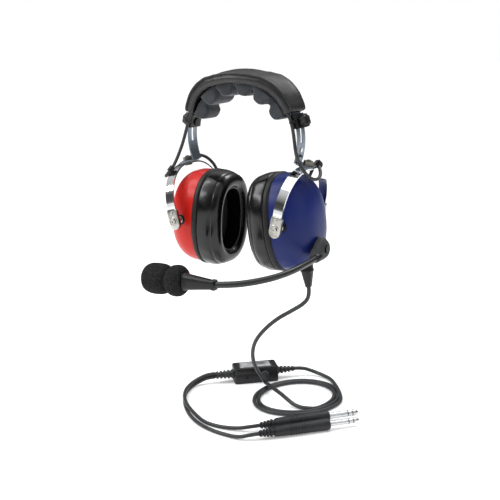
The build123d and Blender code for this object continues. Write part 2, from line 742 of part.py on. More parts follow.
# --- plugs --------------------------------------------------------------------------------
def plug_handle(start):
    """Grip with its ribbed strain relief, moulded in one piece over the plug."""
    body = taper(start, plug_out, plug_relief_tip, handle_root_radius * 0.9, plug_relief_length)
    for index in range(3):
        near = [s + d * (3 + 3.6 * index) for s, d in zip(start, plug_out)]
        body -= rod(near, plug_out, 8, 1.5) - rod(near, plug_out, 2.3 + 0.4 * index, 1.5)
    root = [s + d * plug_relief_length for s, d in zip(start, plug_out)]
    grip = taper(root, plug_out, handle_root_radius, handle_end_radius, handle_length)
    grip = fillet(grip.edges().filter_by(GeomType.CIRCLE), 1.0)
    return body + grip


def plug_pin(start, radius):
    """Three-pole plug pin with its insulating grooves and pointed tip."""
    reach = plug_relief_length + handle_length
    root = [s + d * reach for s, d in zip(start, plug_out)]
    body = rod(root, plug_out, radius, pin_length - pin_cone)
    tip = [s + d * (reach + pin_length - pin_cone) for s, d in zip(start, plug_out)]
    body += taper(tip, plug_out, radius * 0.95, radius * 0.35, pin_cone)
    for along in (pin_length * 0.62, pin_length * 0.78):
        near = [s + d * (reach + along) for s, d in zip(start, plug_out)]
        body -= rod(near, plug_out, radius + 1, 0.9) - rod(near, plug_out, radius - ring_groove, 0.9)
    return body


# --- write every node ---------------------------------------------------------------------
save("headband_spring", headband_spring())
save("headband_cover", headband_cover())
save("headband_pad", headband_pad())
save("crossover_lead_band", lead_in_band())
both("clamp_block", clamp_block())
both("clamp_screw", clamp_screw())
both("clamp_knob", knob())
both("arm", arm())
both("arm_rivets", arm_rivets())
both("swivel_bolt", group(swivel_bolt(), swivel_nut()))
both("yoke", yoke())
both("yoke_ends", group(yoke_ends(), yoke_pins()))
save("cup_shell_left", cup_shell(True))
save("cup_shell_right", cup_shell(False))
both("backing_ring", backing_ring())
both("ear_seal", ear_seal())
both("speaker", group(speaker(), speaker_plate()))
both("speaker_mesh", speaker_mesh())
both("cup_liner", cup_liner())
save("boom_boss", boom_boss())
save("boom_bolt", boom_bolt())
save("boom_housing", boom_housing())
stiff, flexible = boom_parts()
save("boom_tube", stiff)
save("boom_flex", flexible)
save("mic_body", mic_body())
save("mic_capsule", mic_capsule())
save("windscreen", windscreen())
left_lead = crossover_lead("crossover_lead_left", left_route)
right_lead = crossover_lead("crossover_lead_right", right_route)
save("crossover_lead_left", left_lead)
save("crossover_lead_right", right_lead)
save("lead_clip_left", cord_clip(left_route, left_clip_run, yoke(), left_lead))
save("lead_clip_right", cord_clip(right_route, right_clip_run, mirror(yoke(), about=Plane.YZ), right_lead))
save("cord_gland", cord_gland())
save("cord_drop", tube("cord_drop", drop_points, cord_radius) - cord_coil())
save("cord_coil", cord_coil())
save("cord_box_lead", tube("cord_box_lead", box_lead, cord_radius) - cord_coil())
save("box_shell_lower", box_shell(0, box_split, False))
save("box_shell_upper", box_shell(box_split, box_height, True))
save("box_board", box_board())
save("box_label", label_plate())
save("volume_dial", volume_dial())
save("box_reliefs", Compound(children=[box_relief(s).solids()[0] for s in (-1, 1)]))
save("phone_lead", tube("phone_lead", phone_lead, twin_radius))
save("mic_lead", tube("mic_lead", mic_lead, twin_radius))
save("phone_plug_handle", plug_handle(phone_start))
save("mic_plug_handle", plug_handle(mic_start))
save("phone_plug_pin", plug_pin(phone_start, phone_pin_radius))
save("mic_plug_pin", plug_pin(mic_start, mic_pin_radius))
print(len(written), "nodes")
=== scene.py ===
import json
import math

import bmesh
import bpy
from mathutils import Matrix, Vector, noise


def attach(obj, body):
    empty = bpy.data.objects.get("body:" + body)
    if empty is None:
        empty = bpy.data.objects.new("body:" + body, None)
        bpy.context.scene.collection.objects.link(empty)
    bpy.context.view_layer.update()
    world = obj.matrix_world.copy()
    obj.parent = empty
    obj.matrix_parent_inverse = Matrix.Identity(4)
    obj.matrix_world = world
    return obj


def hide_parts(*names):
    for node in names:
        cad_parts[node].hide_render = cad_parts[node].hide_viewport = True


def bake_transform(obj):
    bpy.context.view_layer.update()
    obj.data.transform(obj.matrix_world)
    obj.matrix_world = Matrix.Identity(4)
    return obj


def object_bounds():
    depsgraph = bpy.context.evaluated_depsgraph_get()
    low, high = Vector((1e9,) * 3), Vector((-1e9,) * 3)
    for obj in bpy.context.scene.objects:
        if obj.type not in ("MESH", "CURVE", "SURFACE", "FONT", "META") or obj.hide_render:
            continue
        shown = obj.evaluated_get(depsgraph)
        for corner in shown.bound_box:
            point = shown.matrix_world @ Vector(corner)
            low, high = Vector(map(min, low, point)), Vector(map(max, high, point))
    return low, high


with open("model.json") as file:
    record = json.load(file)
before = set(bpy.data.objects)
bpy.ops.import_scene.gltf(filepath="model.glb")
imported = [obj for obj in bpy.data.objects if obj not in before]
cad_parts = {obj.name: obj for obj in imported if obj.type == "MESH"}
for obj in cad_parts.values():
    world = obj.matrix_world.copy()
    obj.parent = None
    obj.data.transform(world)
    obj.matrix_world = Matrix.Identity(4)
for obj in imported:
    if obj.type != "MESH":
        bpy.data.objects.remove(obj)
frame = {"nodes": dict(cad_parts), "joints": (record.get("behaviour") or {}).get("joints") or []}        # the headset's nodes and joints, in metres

scene = bpy.context.scene
cadBox = [list(corner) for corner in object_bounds()]
joints = {joint["name"]: joint for joint in frame["joints"]}
bandCentre = Vector(joints["arm_left_slide"]["pos_m"])
cupPivot = Vector(joints["cup_left_tilt"]["pos_m"])
swivelAxis = joints["yoke_left_swivel"]["axis"]
floorZ = cadBox[0][2]
yokeLean = math.atan2(swivelAxis[0], swivelAxis[2])
cupLean = math.radians(-4.5)          # each cup leans its top inward
toYoke = Matrix.Translation(cupPivot) @ Matrix.Rotation(yokeLean, 4, "Y")
toCup = Matrix.Translation(cupPivot) @ Matrix.Rotation(cupLean, 4, "Y")
sides = {"left": Matrix.Identity(4), "right": Matrix.Diagonal((-1, 1, 1, 1))}       # the right is mirrored


def loft(rings, closed=False):
    # skin over rings of points; closed joins the last ring to the first
    count = len(rings[0])
    verts = [point for ring in rings for point in ring]
    faces = []
    for row in range(len(rings) if closed else len(rings) - 1):
        a = row * count
        b = (row + 1) % len(rings) * count
        for j in range(count):
            k = (j + 1) % count
            faces.append((a + j, a + k, b + k, b + j))
    if not closed:
        faces.append(tuple(reversed(range(count))))
        faces.append(tuple(range(len(verts) - count, len(verts))))
    return verts, faces


def joined(shapes):
    verts, faces = [], []
    for shapeVerts, shapeFaces in shapes:
        faces += [tuple(len(verts) + index for index in face) for face in shapeFaces]
        verts += shapeVerts
    return verts, faces


def moved(shape, matrix):
    return [matrix @ Vector(v) for v in shape[0]], shape[1]


def around(steps):
    return [2 * math.pi * k / steps for k in range(steps)]


def aim(start, direction):
    # a place at start with its Z along direction
    return Matrix.Translation(start) @ Vector(direction).to_track_quat("Z", "Y").to_matrix().to_4x4()


def lathe(profile, start, direction, steps=32):
    # turn (along, radius) pairs about a line
    place = aim(start, direction)
    return loft([[place @ Vector((radius * math.cos(a), radius * math.sin(a), along)) for a in around(steps)]
        for along, radius in profile])


def superOval(halfA, halfB, power, steps):
    # points round an oval that is a little squarer than an ellipse
    corners = [(math.cos(a), math.sin(a)) for a in around(steps)]
    return [(halfA * math.copysign(abs(c) ** (2 / power), c), halfB * math.copysign(abs(s) ** (2 / power), s))
        for c, s in corners]


def ovalRings(profile, power=2.35, steps=96):
    # rings across the ear axis from (x, half width, half height)
    return [[Vector((x, y, z)) for y, z in superOval(halfY, halfZ, power, steps)] for x, halfY,
        halfZ in profile]


def tubeShape(path, radius, steps=18):
    rings = []
    normal = (path[1] - path[0]).orthogonal().normalized()
    for index, point in enumerate(path):
        ahead = (path[min(index + 1, len(path) - 1)] - path[max(index - 1, 0)]).normalized()
        normal = (normal - ahead * normal.dot(ahead)).normalized()
        side = ahead.cross(normal)
        rings.append([point + radius * (normal * math.cos(a) + side * math.sin(a)) for a in around(steps)])
    return loft(rings)


def roundedBlock(length, width, low, high, corner, edge, steps=8):
    # a block along X with round corners and softened edges
    plan = []
    for cx, cy, start in ((1, 1, 0), (-1, 1, 90), (-1, -1, 180), (1, -1, 270)):
        for k in range(steps + 1):
            a = math.radians(start + 90 * k / steps)
            x = cx * (length / 2 - corner) + corner * math.cos(a)
            y = cy * (width / 2 - corner) + corner * math.sin(a)
            plan.append((x, y, math.cos(a), math.sin(a)))
    rings = []
    for end, z in ((-1, low), (1, high)):
        turns = range(4) if end < 0 else range(3, -1, -1)
        for k in turns:
            a = math.radians(30 * k)
            inset = edge * (1 - math.sin(a))
            lift = z - end * edge * (1 - math.cos(a))
            rings.append([Vector((x - inset * nx, y - inset * ny, lift)) for x, y, nx, ny in plan])
    return loft(rings)


def stitchShape(centre, along):
    # one stitch of thread
    length, radius = stitch["length"], stitch["radius"]
    profile = [(-length / 2, radius * 0.25), (-length * 0.38, radius * 0.85), (0, radius),
        (length * 0.38, radius * 0.85), (length / 2, radius * 0.25)]
    return lathe(profile, centre, along, 6)


def soften(piece, levels):
    smoothing = piece.modifiers.new("smoothing", "SUBSURF")
    smoothing.levels = levels
    smoothing.render_levels = levels


def makePiece(name, shape, material, body=None, replaces=(), sharp=40, subdivide=0):
    mesh = bpy.data.meshes.new(name)
    mesh.from_pydata([tuple(v) for v in shape[0]], [], shape[1])
    work = bmesh.new()
    work.from_mesh(mesh)
    bmesh.ops.recalc_face_normals(work, faces=work.faces)
    work.to_mesh(mesh)
    work.free()
    mesh.materials.append(material)
    mesh.shade_smooth()
    mesh.set_sharp_from_angle(angle=math.radians(sharp))
    piece = bpy.data.objects.new(name, mesh)
    scene.collection.objects.link(piece)
    if subdivide:
        soften(piece, subdivide)
    if body:
        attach(piece, body)
    if replaces:
        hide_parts(*replaces)
    return piece


bandScale = 0.314       # a wave's scale times the width of one of its bands in metres


def linear(hexColour):
    # sRGB hex to the linear colour that a shader takes
    channels = [int(hexColour[i:i + 2], 16) / 255 for i in (1, 3, 5)]
    return tuple(c / 12.92 if c <= 0.04045 else ((c + 0.055) / 1.055) ** 2.4 for c in channels) + (1.0,)


def addNode(tree, kind, values=None, links=None, **settings):
    node = tree.nodes.new("ShaderNode" + kind)
    for name, value in settings.items():
        setattr(node, name, value)
    for name, value in (values or {}).items():
        node.inputs[name].default_value = value
    for name, socket in (links or {}).items():
        tree.links.new(socket, node.inputs[name])
    return node


def newMaterial(name, colour, roughness, **sockets):
    # the material, and its skin: node tree, shader and place on the piece in metres
    material = bpy.data.materials.new(name)
    material.use_nodes = True
    tree = material.node_tree
    shader = tree.nodes["Principled BSDF"]
    shader.inputs["Base Color"].default_value = linear(colour)
    shader.inputs["Roughness"].default_value = roughness
    for socket, value in sockets.items():
        shader.inputs[socket.replace("_", " ")].default_value = value
    return material, (tree, shader, addNode(tree, "TexCoord").outputs["Object"])


def blendTone(skin, value, dark, light, low=0.0, high=1.0):
    # colour from dark to light as a pattern's value goes from low to high
    tree, shader, place = skin
    tone = addNode(tree, "ValToRGB", links={"Fac": value})
    for element, position, colour in zip(tone.color_ramp.elements, (low, high), (dark, light)):
        element.position = position
        element.color = linear(colour)
    tree.links.new(tone.outputs["Color"], shader.inputs["Base Color"])


def blendGloss(skin, value, rough, low=0.0, high=1.0):
    tree, shader, place = skin
    gloss = addNode(tree, "MapRange", {"From Min": low, "From Max": high, "To Min": rough[0],
        "To Max": rough[1]}, {"Value": value})
    tree.links.new(gloss.outputs["Result"], shader.inputs["Roughness"])


def mottle(skin, size, dark, light, rough, low=0.3):
    # slow changes of tone and of gloss over the surface, size metres across
    tree, shader, place = skin
    patches = addNode(tree, "TexNoise", {"Scale": 1 / size, "Detail": 4.0, "Roughness": 0.6},
        {"Vector": place})
    blendTone(skin, patches.outputs["Fac"], dark, light, low, 0.7)
    blendGloss(skin, patches.outputs["Fac"], rough, 0.3, 0.7)


def raiseBump(skin, height, strength, depth):
    # bump of a real depth in metres, on top of any that is there
    tree, shader, place = skin
    bump = addNode(tree, "Bump", {"Strength": strength, "Distance": depth}, {"Height": height})
    normal = shader.inputs["Normal"]
    if normal.links:
        tree.links.new(normal.links[0].from_socket, bump.inputs["Normal"])
    tree.links.new(bump.outputs["Normal"], normal)


def emboss(skin, kind, size, strength, depth, values=None, **settings):
    # a pattern with a real size in metres, raised to a real depth
    tree, shader, place = skin
    pattern = addNode(tree, kind, {"Scale": 1 / size, **(values or {})}, {"Vector": place}, **settings)
    height = pattern.outputs["Distance" if kind == "TexVoronoi" else "Fac"]
    raiseBump(skin, height, strength, depth)
    return height


def pebbledLeatherette():
    # polyurethane coated cloth, embossed: satin black with a pebble grain that breaks the highlight
    grain = 0.0017      # real pebbles are 0.9 mm, drawn coarser so that they show
    material, skin = newMaterial("pebbledLeatherette", "#141415", 0.44, Coat_Weight=0.08, Coat_Roughness=0.3,
        IOR=1.5)
    mottle(skin, 0.02, "#0C0C0D", "#171718", (0.38, 0.52))
    emboss(skin, "TexVoronoi", grain, 0.35, 0.00025, {"Randomness": 1.0})
    emboss(skin, "TexNoise", 0.012, 0.3, 0.0008, {"Detail": 3.0})
    return material


def smoothLeatherette():
    # polyurethane skin over foam, calendered smooth: glossy black, faint dimples over the foam
    material, skin = newMaterial("smoothLeatherette", "#060607", 0.24, Specular_IOR_Level=0.4,
        Coat_Weight=0.12, Coat_Roughness=0.16, IOR=1.5)
    mottle(skin, 0.018, "#030304", "#080809", (0.18, 0.28))
    emboss(skin, "TexNoise", 0.006, 0.18, 0.0005, {"Detail": 3.0})
    emboss(skin, "TexVoronoi", 0.0012, 0.12, 0.0001)
    return material


def knittedCloth(name, dark, light):
    # polyester knit over foam: matt, with fine ribs one way and loops the other
    rib = 0.0011        # real ribs are 0.5 mm, drawn coarser so that they show
    material, skin = newMaterial(name, light, 0.92, Sheen_Weight=0.35, Sheen_Roughness=0.4)
    mottle(skin, 0.009, dark, light, (0.86, 0.96), low=0.2)
    for direction, size in (("X", rib), ("Z", rib * 1.3), ("Y", rib)):
        emboss(skin, "TexWave", size, 0.3, 0.0002, {"Scale": bandScale / size, "Distortion": 0.7,
            "Detail": 1.0, "Detail Scale": 3.0}, bands_direction=direction)
    return material


def openCellFoam():
    # reticulated polyurethane foam: deep matt black, open cells that hold no highlight, with painted shade in
    # the hollow of each cell
    cell = 0.0013       # real cells are 0.6 mm, drawn coarser so that they show
    material, skin = newMaterial("openCellFoam", "#1B1B1C", 1.0, Specular_IOR_Level=0.15)
    depth = emboss(skin, "TexVoronoi", cell, 0.9, 0.0006, feature="SMOOTH_F1")
    # painted shade: the colour follows the cell depth, darker in each cell's hollow and lighter on the struts
    blendTone(skin, depth, "#0B0B0B", "#2E2D2E", 0.0, 0.75)
    return material


def mouldedShell(name, dark, light, roughness, coat):
    # ABS, injection moulded and polished: even colour, faint waviness in the reflections
    material, skin = newMaterial(name, light, roughness, Coat_Weight=coat, Coat_Roughness=0.2, IOR=1.53,
        Specular_IOR_Level=0.24)
    mottle(skin, 0.05, dark, light, (roughness * 0.9, roughness * 1.15))
    emboss(skin, "TexNoise", 0.014, 0.06, 0.0006, {"Detail": 1.0})
    emboss(skin, "TexNoise", 0.0016, 0.05, 0.00006, {"Detail": 2.0})
    return material


def sparkedPlastic(name, dark, light, roughness, grit, depth):
    # black ABS from a spark-eroded mould: satin, with a fine even grit
    material, skin = newMaterial(name, light, roughness, IOR=1.53, Specular_IOR_Level=0.36)
    mottle(skin, 0.006, dark, light, (roughness * 0.85, roughness * 1.15))
    emboss(skin, "TexNoise", grit, 0.5, depth, {"Detail": 3.0, "Roughness": 0.7})
    return material


def vinylJacket(name, dark, light, roughness):
    # flexible PVC, extruded: dark grey with a soft sheen and faint drag marks
    material, skin = newMaterial(name, light, roughness, IOR=1.52)
    mottle(skin, 0.007, dark, light, (roughness * 0.85, roughness * 1.2))
    emboss(skin, "TexNoise", 0.0012, 0.35, 0.00012, {"Detail": 3.0})
    return material


def platedMetal(name, dark, light, roughness, depth):
    # bright plating over a polished or cast metal: mirror with slight haze and pits
    material, skin = newMaterial(name, light, roughness, Metallic=1.0)
    mottle(skin, 0.016, dark, light, (roughness * 0.7, roughness * 1.5))
    emboss(skin, "TexNoise", 0.0015, 0.3, depth, {"Detail": 4.0})
    return material


def brushedSteel():
    # spring steel strap, rolled and brushed along its length: blue grey with long fine lines
    line = 0.0007
    material, skin = newMaterial("brushedSteel", "#77818C", 0.36, Metallic=1.0)
    tree, shader, place = skin
    stretch = addNode(tree, "Mapping", {"Scale": (1.0, 14.0, 1.0)}, {"Vector": place})
    lines = addNode(tree, "TexNoise", {"Scale": 0.07 / line, "Detail": 5.0, "Roughness": 0.7},
        {"Vector": stretch.outputs["Vector"]}).outputs["Fac"]
    blendTone(skin, lines, "#5B646F", "#98A2AD")
    blendGloss(skin, lines, (0.26, 0.46))
    raiseBump(skin, lines, 0.2, 0.00004)
    return material


def spunThread():
    # bonded polyester thread: pale grey with a twist along each stitch, with painted shade in the twist's
    # grooves and painted highlight on its ridges
    twist = 0.0005
    material, skin = newMaterial("spunThread", "#4A4A49", 0.6, Sheen_Weight=0.3)
    height = emboss(skin, "TexWave", twist, 0.4, 0.0001, {"Scale": bandScale / twist},
        bands_direction="DIAGONAL")
    # painted shade and highlight: the colour follows the twist's height, darker in the grooves and lighter on
    # the ridges
    blendTone(skin, height, "#2C2C2B", "#62625F")
    return material


def boardLaminate():
    # glass epoxy board with a green solder mask over copper tracks
    material, (tree, shader, place) = newMaterial("boardLaminate", "#14532D", 0.35)
    tracks = addNode(tree, "TexBrick", {"Scale": 1 / 0.02, "Mortar Size": 0.03, "Color1": linear("#14532D"),
        "Color2": linear("#0F4526"), "Mortar": linear("#2C7A4A")}, {"Vector": place})
    tree.links.new(tracks.outputs["Color"], shader.inputs["Base Color"])
    return material


leather = pebbledLeatherette()
sealSkin = smoothLeatherette()
padCloth = knittedCloth("knittedPadCloth", "#24272A", "#3A3E43")
speakerCloth = knittedCloth("speakerCloth", "#0C0A0A", "#1A1414")
foam = openCellFoam()
shellPlastic = {"left": mouldedShell("navyAbs", "#101D58", "#152566", 0.36, 0.0),
    "right": mouldedShell("redAbs", "#BC150C", "#CC1E13", 0.32, 0.05)}
blackPlastic = sparkedPlastic("blackAbs", "#070708", "#0E0E10", 0.4, 0.0012, 0.00012)
ringPlastic = sparkedPlastic("blackRingAbs", "#080908", "#101110", 0.5, 0.0016, 0.0001)
housingPlastic = sparkedPlastic("gritAbs", "#1E1F21", "#35373A", 0.6, 0.0014, 0.0005)
# painted highlight: the dark dial is drawn in a lighter grey than the other black plastics, standing in for
# the light on its rings
dialPlastic = sparkedPlastic("dialAbs", "#2A2B2E", "#45474B", 0.4, 0.0016, 0.0001)
gripPlastic = sparkedPlastic("gripAbs", "#141517", "#222327", 0.48, 0.0018, 0.0002)
cordVinyl = vinylJacket("cordVinyl", "#1C1E20", "#2E3134", 0.46)
boomSleeve = vinylJacket("boomSleeve", "#101213", "#1D2021", 0.34)
chrome = platedMetal("chromePlate", "#CFD0D2", "#E4E5E6", 0.05, 0.00002)
nickel = platedMetal("nickelPlate", "#BFC0C2", "#D6D7D9", 0.1, 0.00002)
castZinc = platedMetal("plateOverCastZinc", "#9C9B96", "#CFCEC8", 0.24, 0.00006)
labelMetal = platedMetal("satinLabel", "#B2B5B8", "#D2D5D8", 0.42, 0.00003)
darkZinc = platedMetal("blackenedZinc", "#4A4843", "#7B786F", 0.34, 0.0001)
blackSteel = platedMetal("blackOxideSteel", "#1B1B1C", "#333334", 0.36, 0.00004)
armSteel = brushedSteel()
thread = spunThread()
laminate = boardLaminate()
print("materials made")


cameraFacts = {"azimuth": 31.4, "elevation": 12.3, "roll": -2.006, "distance": 0.9842, "lens": 68.41,
    "target": (0.0013, 0.0, -0.0346)}


def placeCamera(facts):
    a = math.radians(facts["azimuth"])
    e = math.radians(facts["elevation"])
    tip = math.radians(facts["roll"])
    back = Vector((math.sin(a) * math.cos(e), -math.cos(a) * math.cos(e), math.sin(e)))
    across = Vector((math.cos(a), math.sin(a), 0))
    up = back.cross(across)
    right = across * math.cos(tip) + up * math.sin(tip)
    upright = up * math.cos(tip) - across * math.sin(tip)
    camera = bpy.data.objects.new("camera", bpy.data.cameras.new("camera"))
    camera.data.lens = facts["lens"]
    camera.data.sensor_width = 36
    camera.matrix_world = Matrix.Translation(Vector(facts["target"]) + back *
        facts["distance"]) @ Matrix((right, upright, back)).transposed().to_4x4()
    scene.collection.objects.link(camera)
    scene.camera = camera


placeCamera(cameraFacts)


# routes chosen, in metres
mainCord = {
    "radius": 0.0021, "dropLength": 0.175, "lyingLength": 0.79, "cutHeights": (-0.142, -0.1),
    "drop": [(0.0721, -0.006, -0.0652), (0.0729, -0.006, -0.0745), (0.067, -0.0073, -0.083),
        (0.0535, -0.008, -0.0915), (0.0355, -0.0088, -0.1025), (0.019, -0.009, -0.117),
        (0.006, -0.005, -0.132), (-0.003, 0.004, -0.149), (-0.009, 0.017, -0.166),
        (-0.0105, 0.029, -0.18), (-0.0055, 0.035, -0.1929)],
    "landing": [(0.0045, 0.0272, -0.1915), (0.016, 0.0183, -0.1915), (0.0265, 0.0113, -0.1917),
        (0.037, 0.0052, -0.1935), (0.0468, 0.001, -0.1965), (0.056, -0.0008, -0.1978),
        (0.0645, 0.0005, -0.1978)],
    "toBox": [(0.052, 0.086, -0.1978), (0.036, 0.0955, -0.1975), (0.0205, 0.098, -0.1953)]}
coil = {"pointsPerTurn": 16, "first": -29, "last": 746, "middle": (0.0375, 0.0255), "lift": 0.0001,
    "reach": [0.0405, 0.046, 0.0395, 0.0465, 0.045, 0.0505, 0.0437, 0.0522, 0.05, 0.0545]}
box = {"centre": (-0.0323, 0.0568), "turn": 40.4, "length": 0.05, "width": 0.025, "height": 0.018,
    "split": 0.01, "corner": 0.0034, "edge": 0.0016, "gap": 0.0003, "relief": 0.021, "reliefZ": 0.009,
    "dialAlong": 0.009, "dialZ": 0.0092}
boxTurn = math.radians(box["turn"])
boxOut = Vector((math.cos(boxTurn), math.sin(boxTurn), 0))
boxSide = Vector((boxOut.y, -boxOut.x, 0))
reliefTip = box["length"] / 2 + box["relief"]


def boxPoint(along, across, height):
    # along the control box, across it towards its dial, and above the surface
    return Vector((*box["centre"], floorZ + height)) + boxOut * along + boxSide * across


plugs = {
    "turn": 46, "radius": 0.0019, "reliefLength": 0.015, "gripLength": 0.057, "straight": 0.008,
    "phone": {
        "start": (0.0475, -0.0685, -0.194), "pinRadius": 0.00315, "length": 0.205, "exitHeight": 0.011,
        "route": [(-0.0805, 0.015, -0.19235), (-0.0825, 0.002, -0.19415), (-0.077, -0.0175, -0.19415),
            (-0.066, -0.0365, -0.19415), (-0.05, -0.0545, -0.19415), (-0.032, -0.0675, -0.19565),
            (-0.012, -0.0785, -0.19805), (0.009, -0.0812, -0.19805), (0.0272, -0.0785, -0.19725)]},
    "mic": {
        "start": (0.057, -0.0865, -0.194), "pinRadius": 0.0026, "length": 0.221, "exitHeight": 0.007,
        "route": [(-0.0805, 0.015, -0.19645), (-0.0825, 0.002, -0.19805), (-0.077, -0.0175, -0.19805),
            (-0.066, -0.0365, -0.19805), (-0.0505, -0.0555, -0.19805), (-0.033, -0.072, -0.19805),
            (-0.0135, -0.0848, -0.19805), (0.0075, -0.0925, -0.19805), (0.0255, -0.0952, -0.19805),
            (0.0402, -0.0962, -0.19725)]}}
plugTurn = math.radians(plugs["turn"])
plugOut = Vector((math.cos(plugTurn), math.sin(plugTurn), 0))
crossover = {
    "radius": 0.0017,
    "left": {
        "clip": 8,
        "route": [(0.05707, -0.0116, 0.10623), (0.06027, -0.0116, 0.09863), (0.064, -0.014, 0.084),
            (0.0665, -0.0162, 0.0685), (0.074, -0.0205, 0.0565), (0.081, -0.0155, 0.0455),
            (0.0845, -0.007, 0.043), (0.0845, 0.0015, 0.047), (0.0796, 0.0074, 0.0536),
            (0.0742, 0.0176, 0.0572), (0.0675, 0.025, 0.057), (0.0615, 0.031, 0.0505),
            (0.0565, 0.0325, 0.042), (0.053, 0.0295, 0.034), (0.0518, 0.0265, 0.025)]},
    "right": {
        "clip": 4,
        "route": [(-0.05707, -0.0116, 0.10623), (-0.06027, -0.0116, 0.09863), (-0.0635, -0.013, 0.087),
            (-0.0665, -0.0175, 0.072), (-0.0701, -0.027, 0.0544), (-0.0741, -0.0328, 0.0469),
            (-0.0797, -0.0303, 0.0426), (-0.0832, -0.0205, 0.0435), (-0.084, -0.0065, 0.047),
            (-0.0825, 0.007, 0.053), (-0.0765, 0.017, 0.06), (-0.068, 0.0255, 0.059),
            (-0.061, 0.0315, 0.051), (-0.056, 0.0325, 0.0415), (-0.053, 0.0295, 0.034),
            (-0.0518, 0.0265, 0.025)]}}


def nurbsCurve(name, points):
    curve = bpy.data.curves.new(name, "CURVE")
    curve.dimensions = "3D"
    curve.resolution_u = 10
    spline = curve.splines.new("NURBS")
    spline.points.add(len(points) - 1)
    for point, place in zip(spline.points, points):
        point.co = (*place, 1.0)
    spline.order_u = 3
    spline.use_endpoint_u = True
    return curve


def readPath(points):
    # the smooth line that a route's points give
    guide = bpy.data.objects.new("route", nurbsCurve("route", points))
    scene.collection.objects.link(guide)
    bpy.context.view_layer.update()
    line = bpy.data.meshes.new_from_object(guide)
    path = [vertex.co.copy() for vertex in line.vertices]
    bpy.data.objects.remove(guide)
    bpy.data.meshes.remove(line)
    return path


def lyingCord(name, points, radius, nodes):
    curve = nurbsCurve(name, points)
    curve.bevel_depth = radius
    curve.bevel_resolution = 6
    curve.use_fill_caps = True
    curve.materials.append(cordVinyl)
    piece = bpy.data.objects.new(name, curve)
    scene.collection.objects.link(piece)
    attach(piece, "headband")
    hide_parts(*nodes)
    return piece


def bentStretches(name, path, cuts, radius, node):
    # a cord over several joints, in stretches cut at the given points
    pieces = []
    for index, (first, last) in enumerate(zip(cuts, cuts[1:])):
        piece = makePiece(f"{name}_{index + 1}", tubeShape(path[first:last + 1], radius), cordVinyl,
            replaces=[node])
        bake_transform(piece)
        pieces.append((piece, path[first:last + 1]))
    return pieces


def nearest(path, gap):
    # index of the point where gap is smallest
    return min(range(len(path)), key=lambda i: gap(path[i]))


def pathLength(path):
    return sum((b - a).length for a, b in zip(path, path[1:]))


def coilPoints():
    # from the right-hand end, round by the back, each turn wider than the last and laid outside it
    points = []
    step = 360 / coil["pointsPerTurn"]
    count = int((coil["last"] - coil["first"]) / step)
    for k in range(count + 1):
        angle = coil["first"] + step * k
        quarter = max(0, int(angle // 90))
        reaches = (coil["reach"][quarter], coil["reach"][quarter + 1])
        reachX, reachY = reaches if quarter % 2 == 0 else reversed(reaches)
        a = math.radians(angle)
        points.append((coil["middle"][0] + reachX * math.cos(a), coil["middle"][1] + reachY * math.sin(a),
            floorZ + mainCord["radius"] + coil["lift"]))
    return points


def makeMainCord():
    path = readPath(mainCord["drop"])[::-1]
    joins = [nearest(path, lambda point: abs(point.z - height)) for height in mainCord["cutHeights"]]
    cuts = [0, *joins, len(path) - 1]
    stretches = bentStretches("cordDrop", path, cuts, mainCord["radius"], "cord_drop")
    points = [mainCord["drop"][-1], *mainCord["landing"], *coilPoints(), *mainCord["toBox"],
        boxPoint(reliefTip + 0.009, 0, box["reliefZ"]), boxPoint(reliefTip, 0, box["reliefZ"])]
    lying = lyingCord("cordCoil", points, mainCord["radius"], ["cord_coil", "cord_box_lead"])


def makePlugLeads():
    for name in ("phone", "mic"):
        plug = plugs[name]
        start = Vector(plug["start"])
        root = [boxPoint(-reliefTip - step, 0, plug["exitHeight"]) for step in (0, plugs["straight"])]
        points = [*root, *plug["route"], start - plugOut * 0.009, start]
        lead = lyingCord(f"{name}Lead", points, plugs["radius"], [f"{name}_lead"])


def makeCrossoverLeads():
    for side in sides:
        facts = crossover[side]
        path = readPath(facts["route"])
        clip = (Vector(facts["route"][facts["clip"]]) + Vector(facts["route"][facts["clip"] + 1])) / 2
        clipIndex = nearest(path, lambda point: (point - clip).length)
        toClip = pathLength(path[:clipIndex + 1])
        armIndex = min(range(len(path)), key=lambda i: abs(pathLength(path[:i + 1]) - toClip / 2))
        stretches = bentStretches(f"crossoverLead_{side}", path, [0, armIndex, clipIndex, len(path) - 1],
            crossover["radius"],
            f"crossover_lead_{side}")


cover = {"inner": 0.0575, "outer": 0.068, "endAngle": 23, "endWidth": 0.0142, "crownWidth": 0.0245,
    "step": 1.6, "fromCrown": [0, 10, 20, 30, 40, 50, 60, 67], "middle": [0.0004, 0.0004, 0.0005, 0.0009,
    0.0014, 0.0013, 0.0006, 0.0], "edge": [-0.0033, -0.0031, -0.0016, 0.0006, 0.0017, 0.0018, 0.001, 0.0],
    "hem": [-0.002, -0.0019, -0.0008, 0.001, 0.0024, 0.0027, 0.0018, 0.0008]}
stitch = {"pitch": 0.0026, "length": 0.0015, "radius": 0.00026}
padding = {"count": 6, "pitch": 23.3, "span": 20.4, "depth": 0.0148, "setBack": 0.0022, "widest": 0.0192,
    "voxel": 0.0022, "pressure": 3.0, "mostSwell": 0.0011}


def onArc(radius, angle, y=0.0):
    a = math.radians(angle)
    return bandCentre + Vector((radius * math.cos(a), y, radius * math.sin(a)))


def coverHalf(angle):
    # half width of the cover, wide over the crown and narrow at its ends
    low = math.sin(math.radians(cover["endAngle"]))
    share = max(0.0, (math.sin(math.radians(angle)) - low) / (1 - low))
    return cover["endWidth"] + (cover["crownWidth"] - cover["endWidth"]) * share ** 1.35


def coverLift(line, angle):
    # how far a line of the cover stands off its circle, flatter over the crown and fuller at the shoulders
    away = min(abs(angle - 90), cover["fromCrown"][-1])
    for k, (low, high) in enumerate(zip(cover["fromCrown"], cover["fromCrown"][1:])):
        if away <= high:
            share = (away - low) / (high - low)
            share = share * share * (3 - 2 * share)
            return cover[line][k] * (1 - share) + cover[line][k + 1] * share


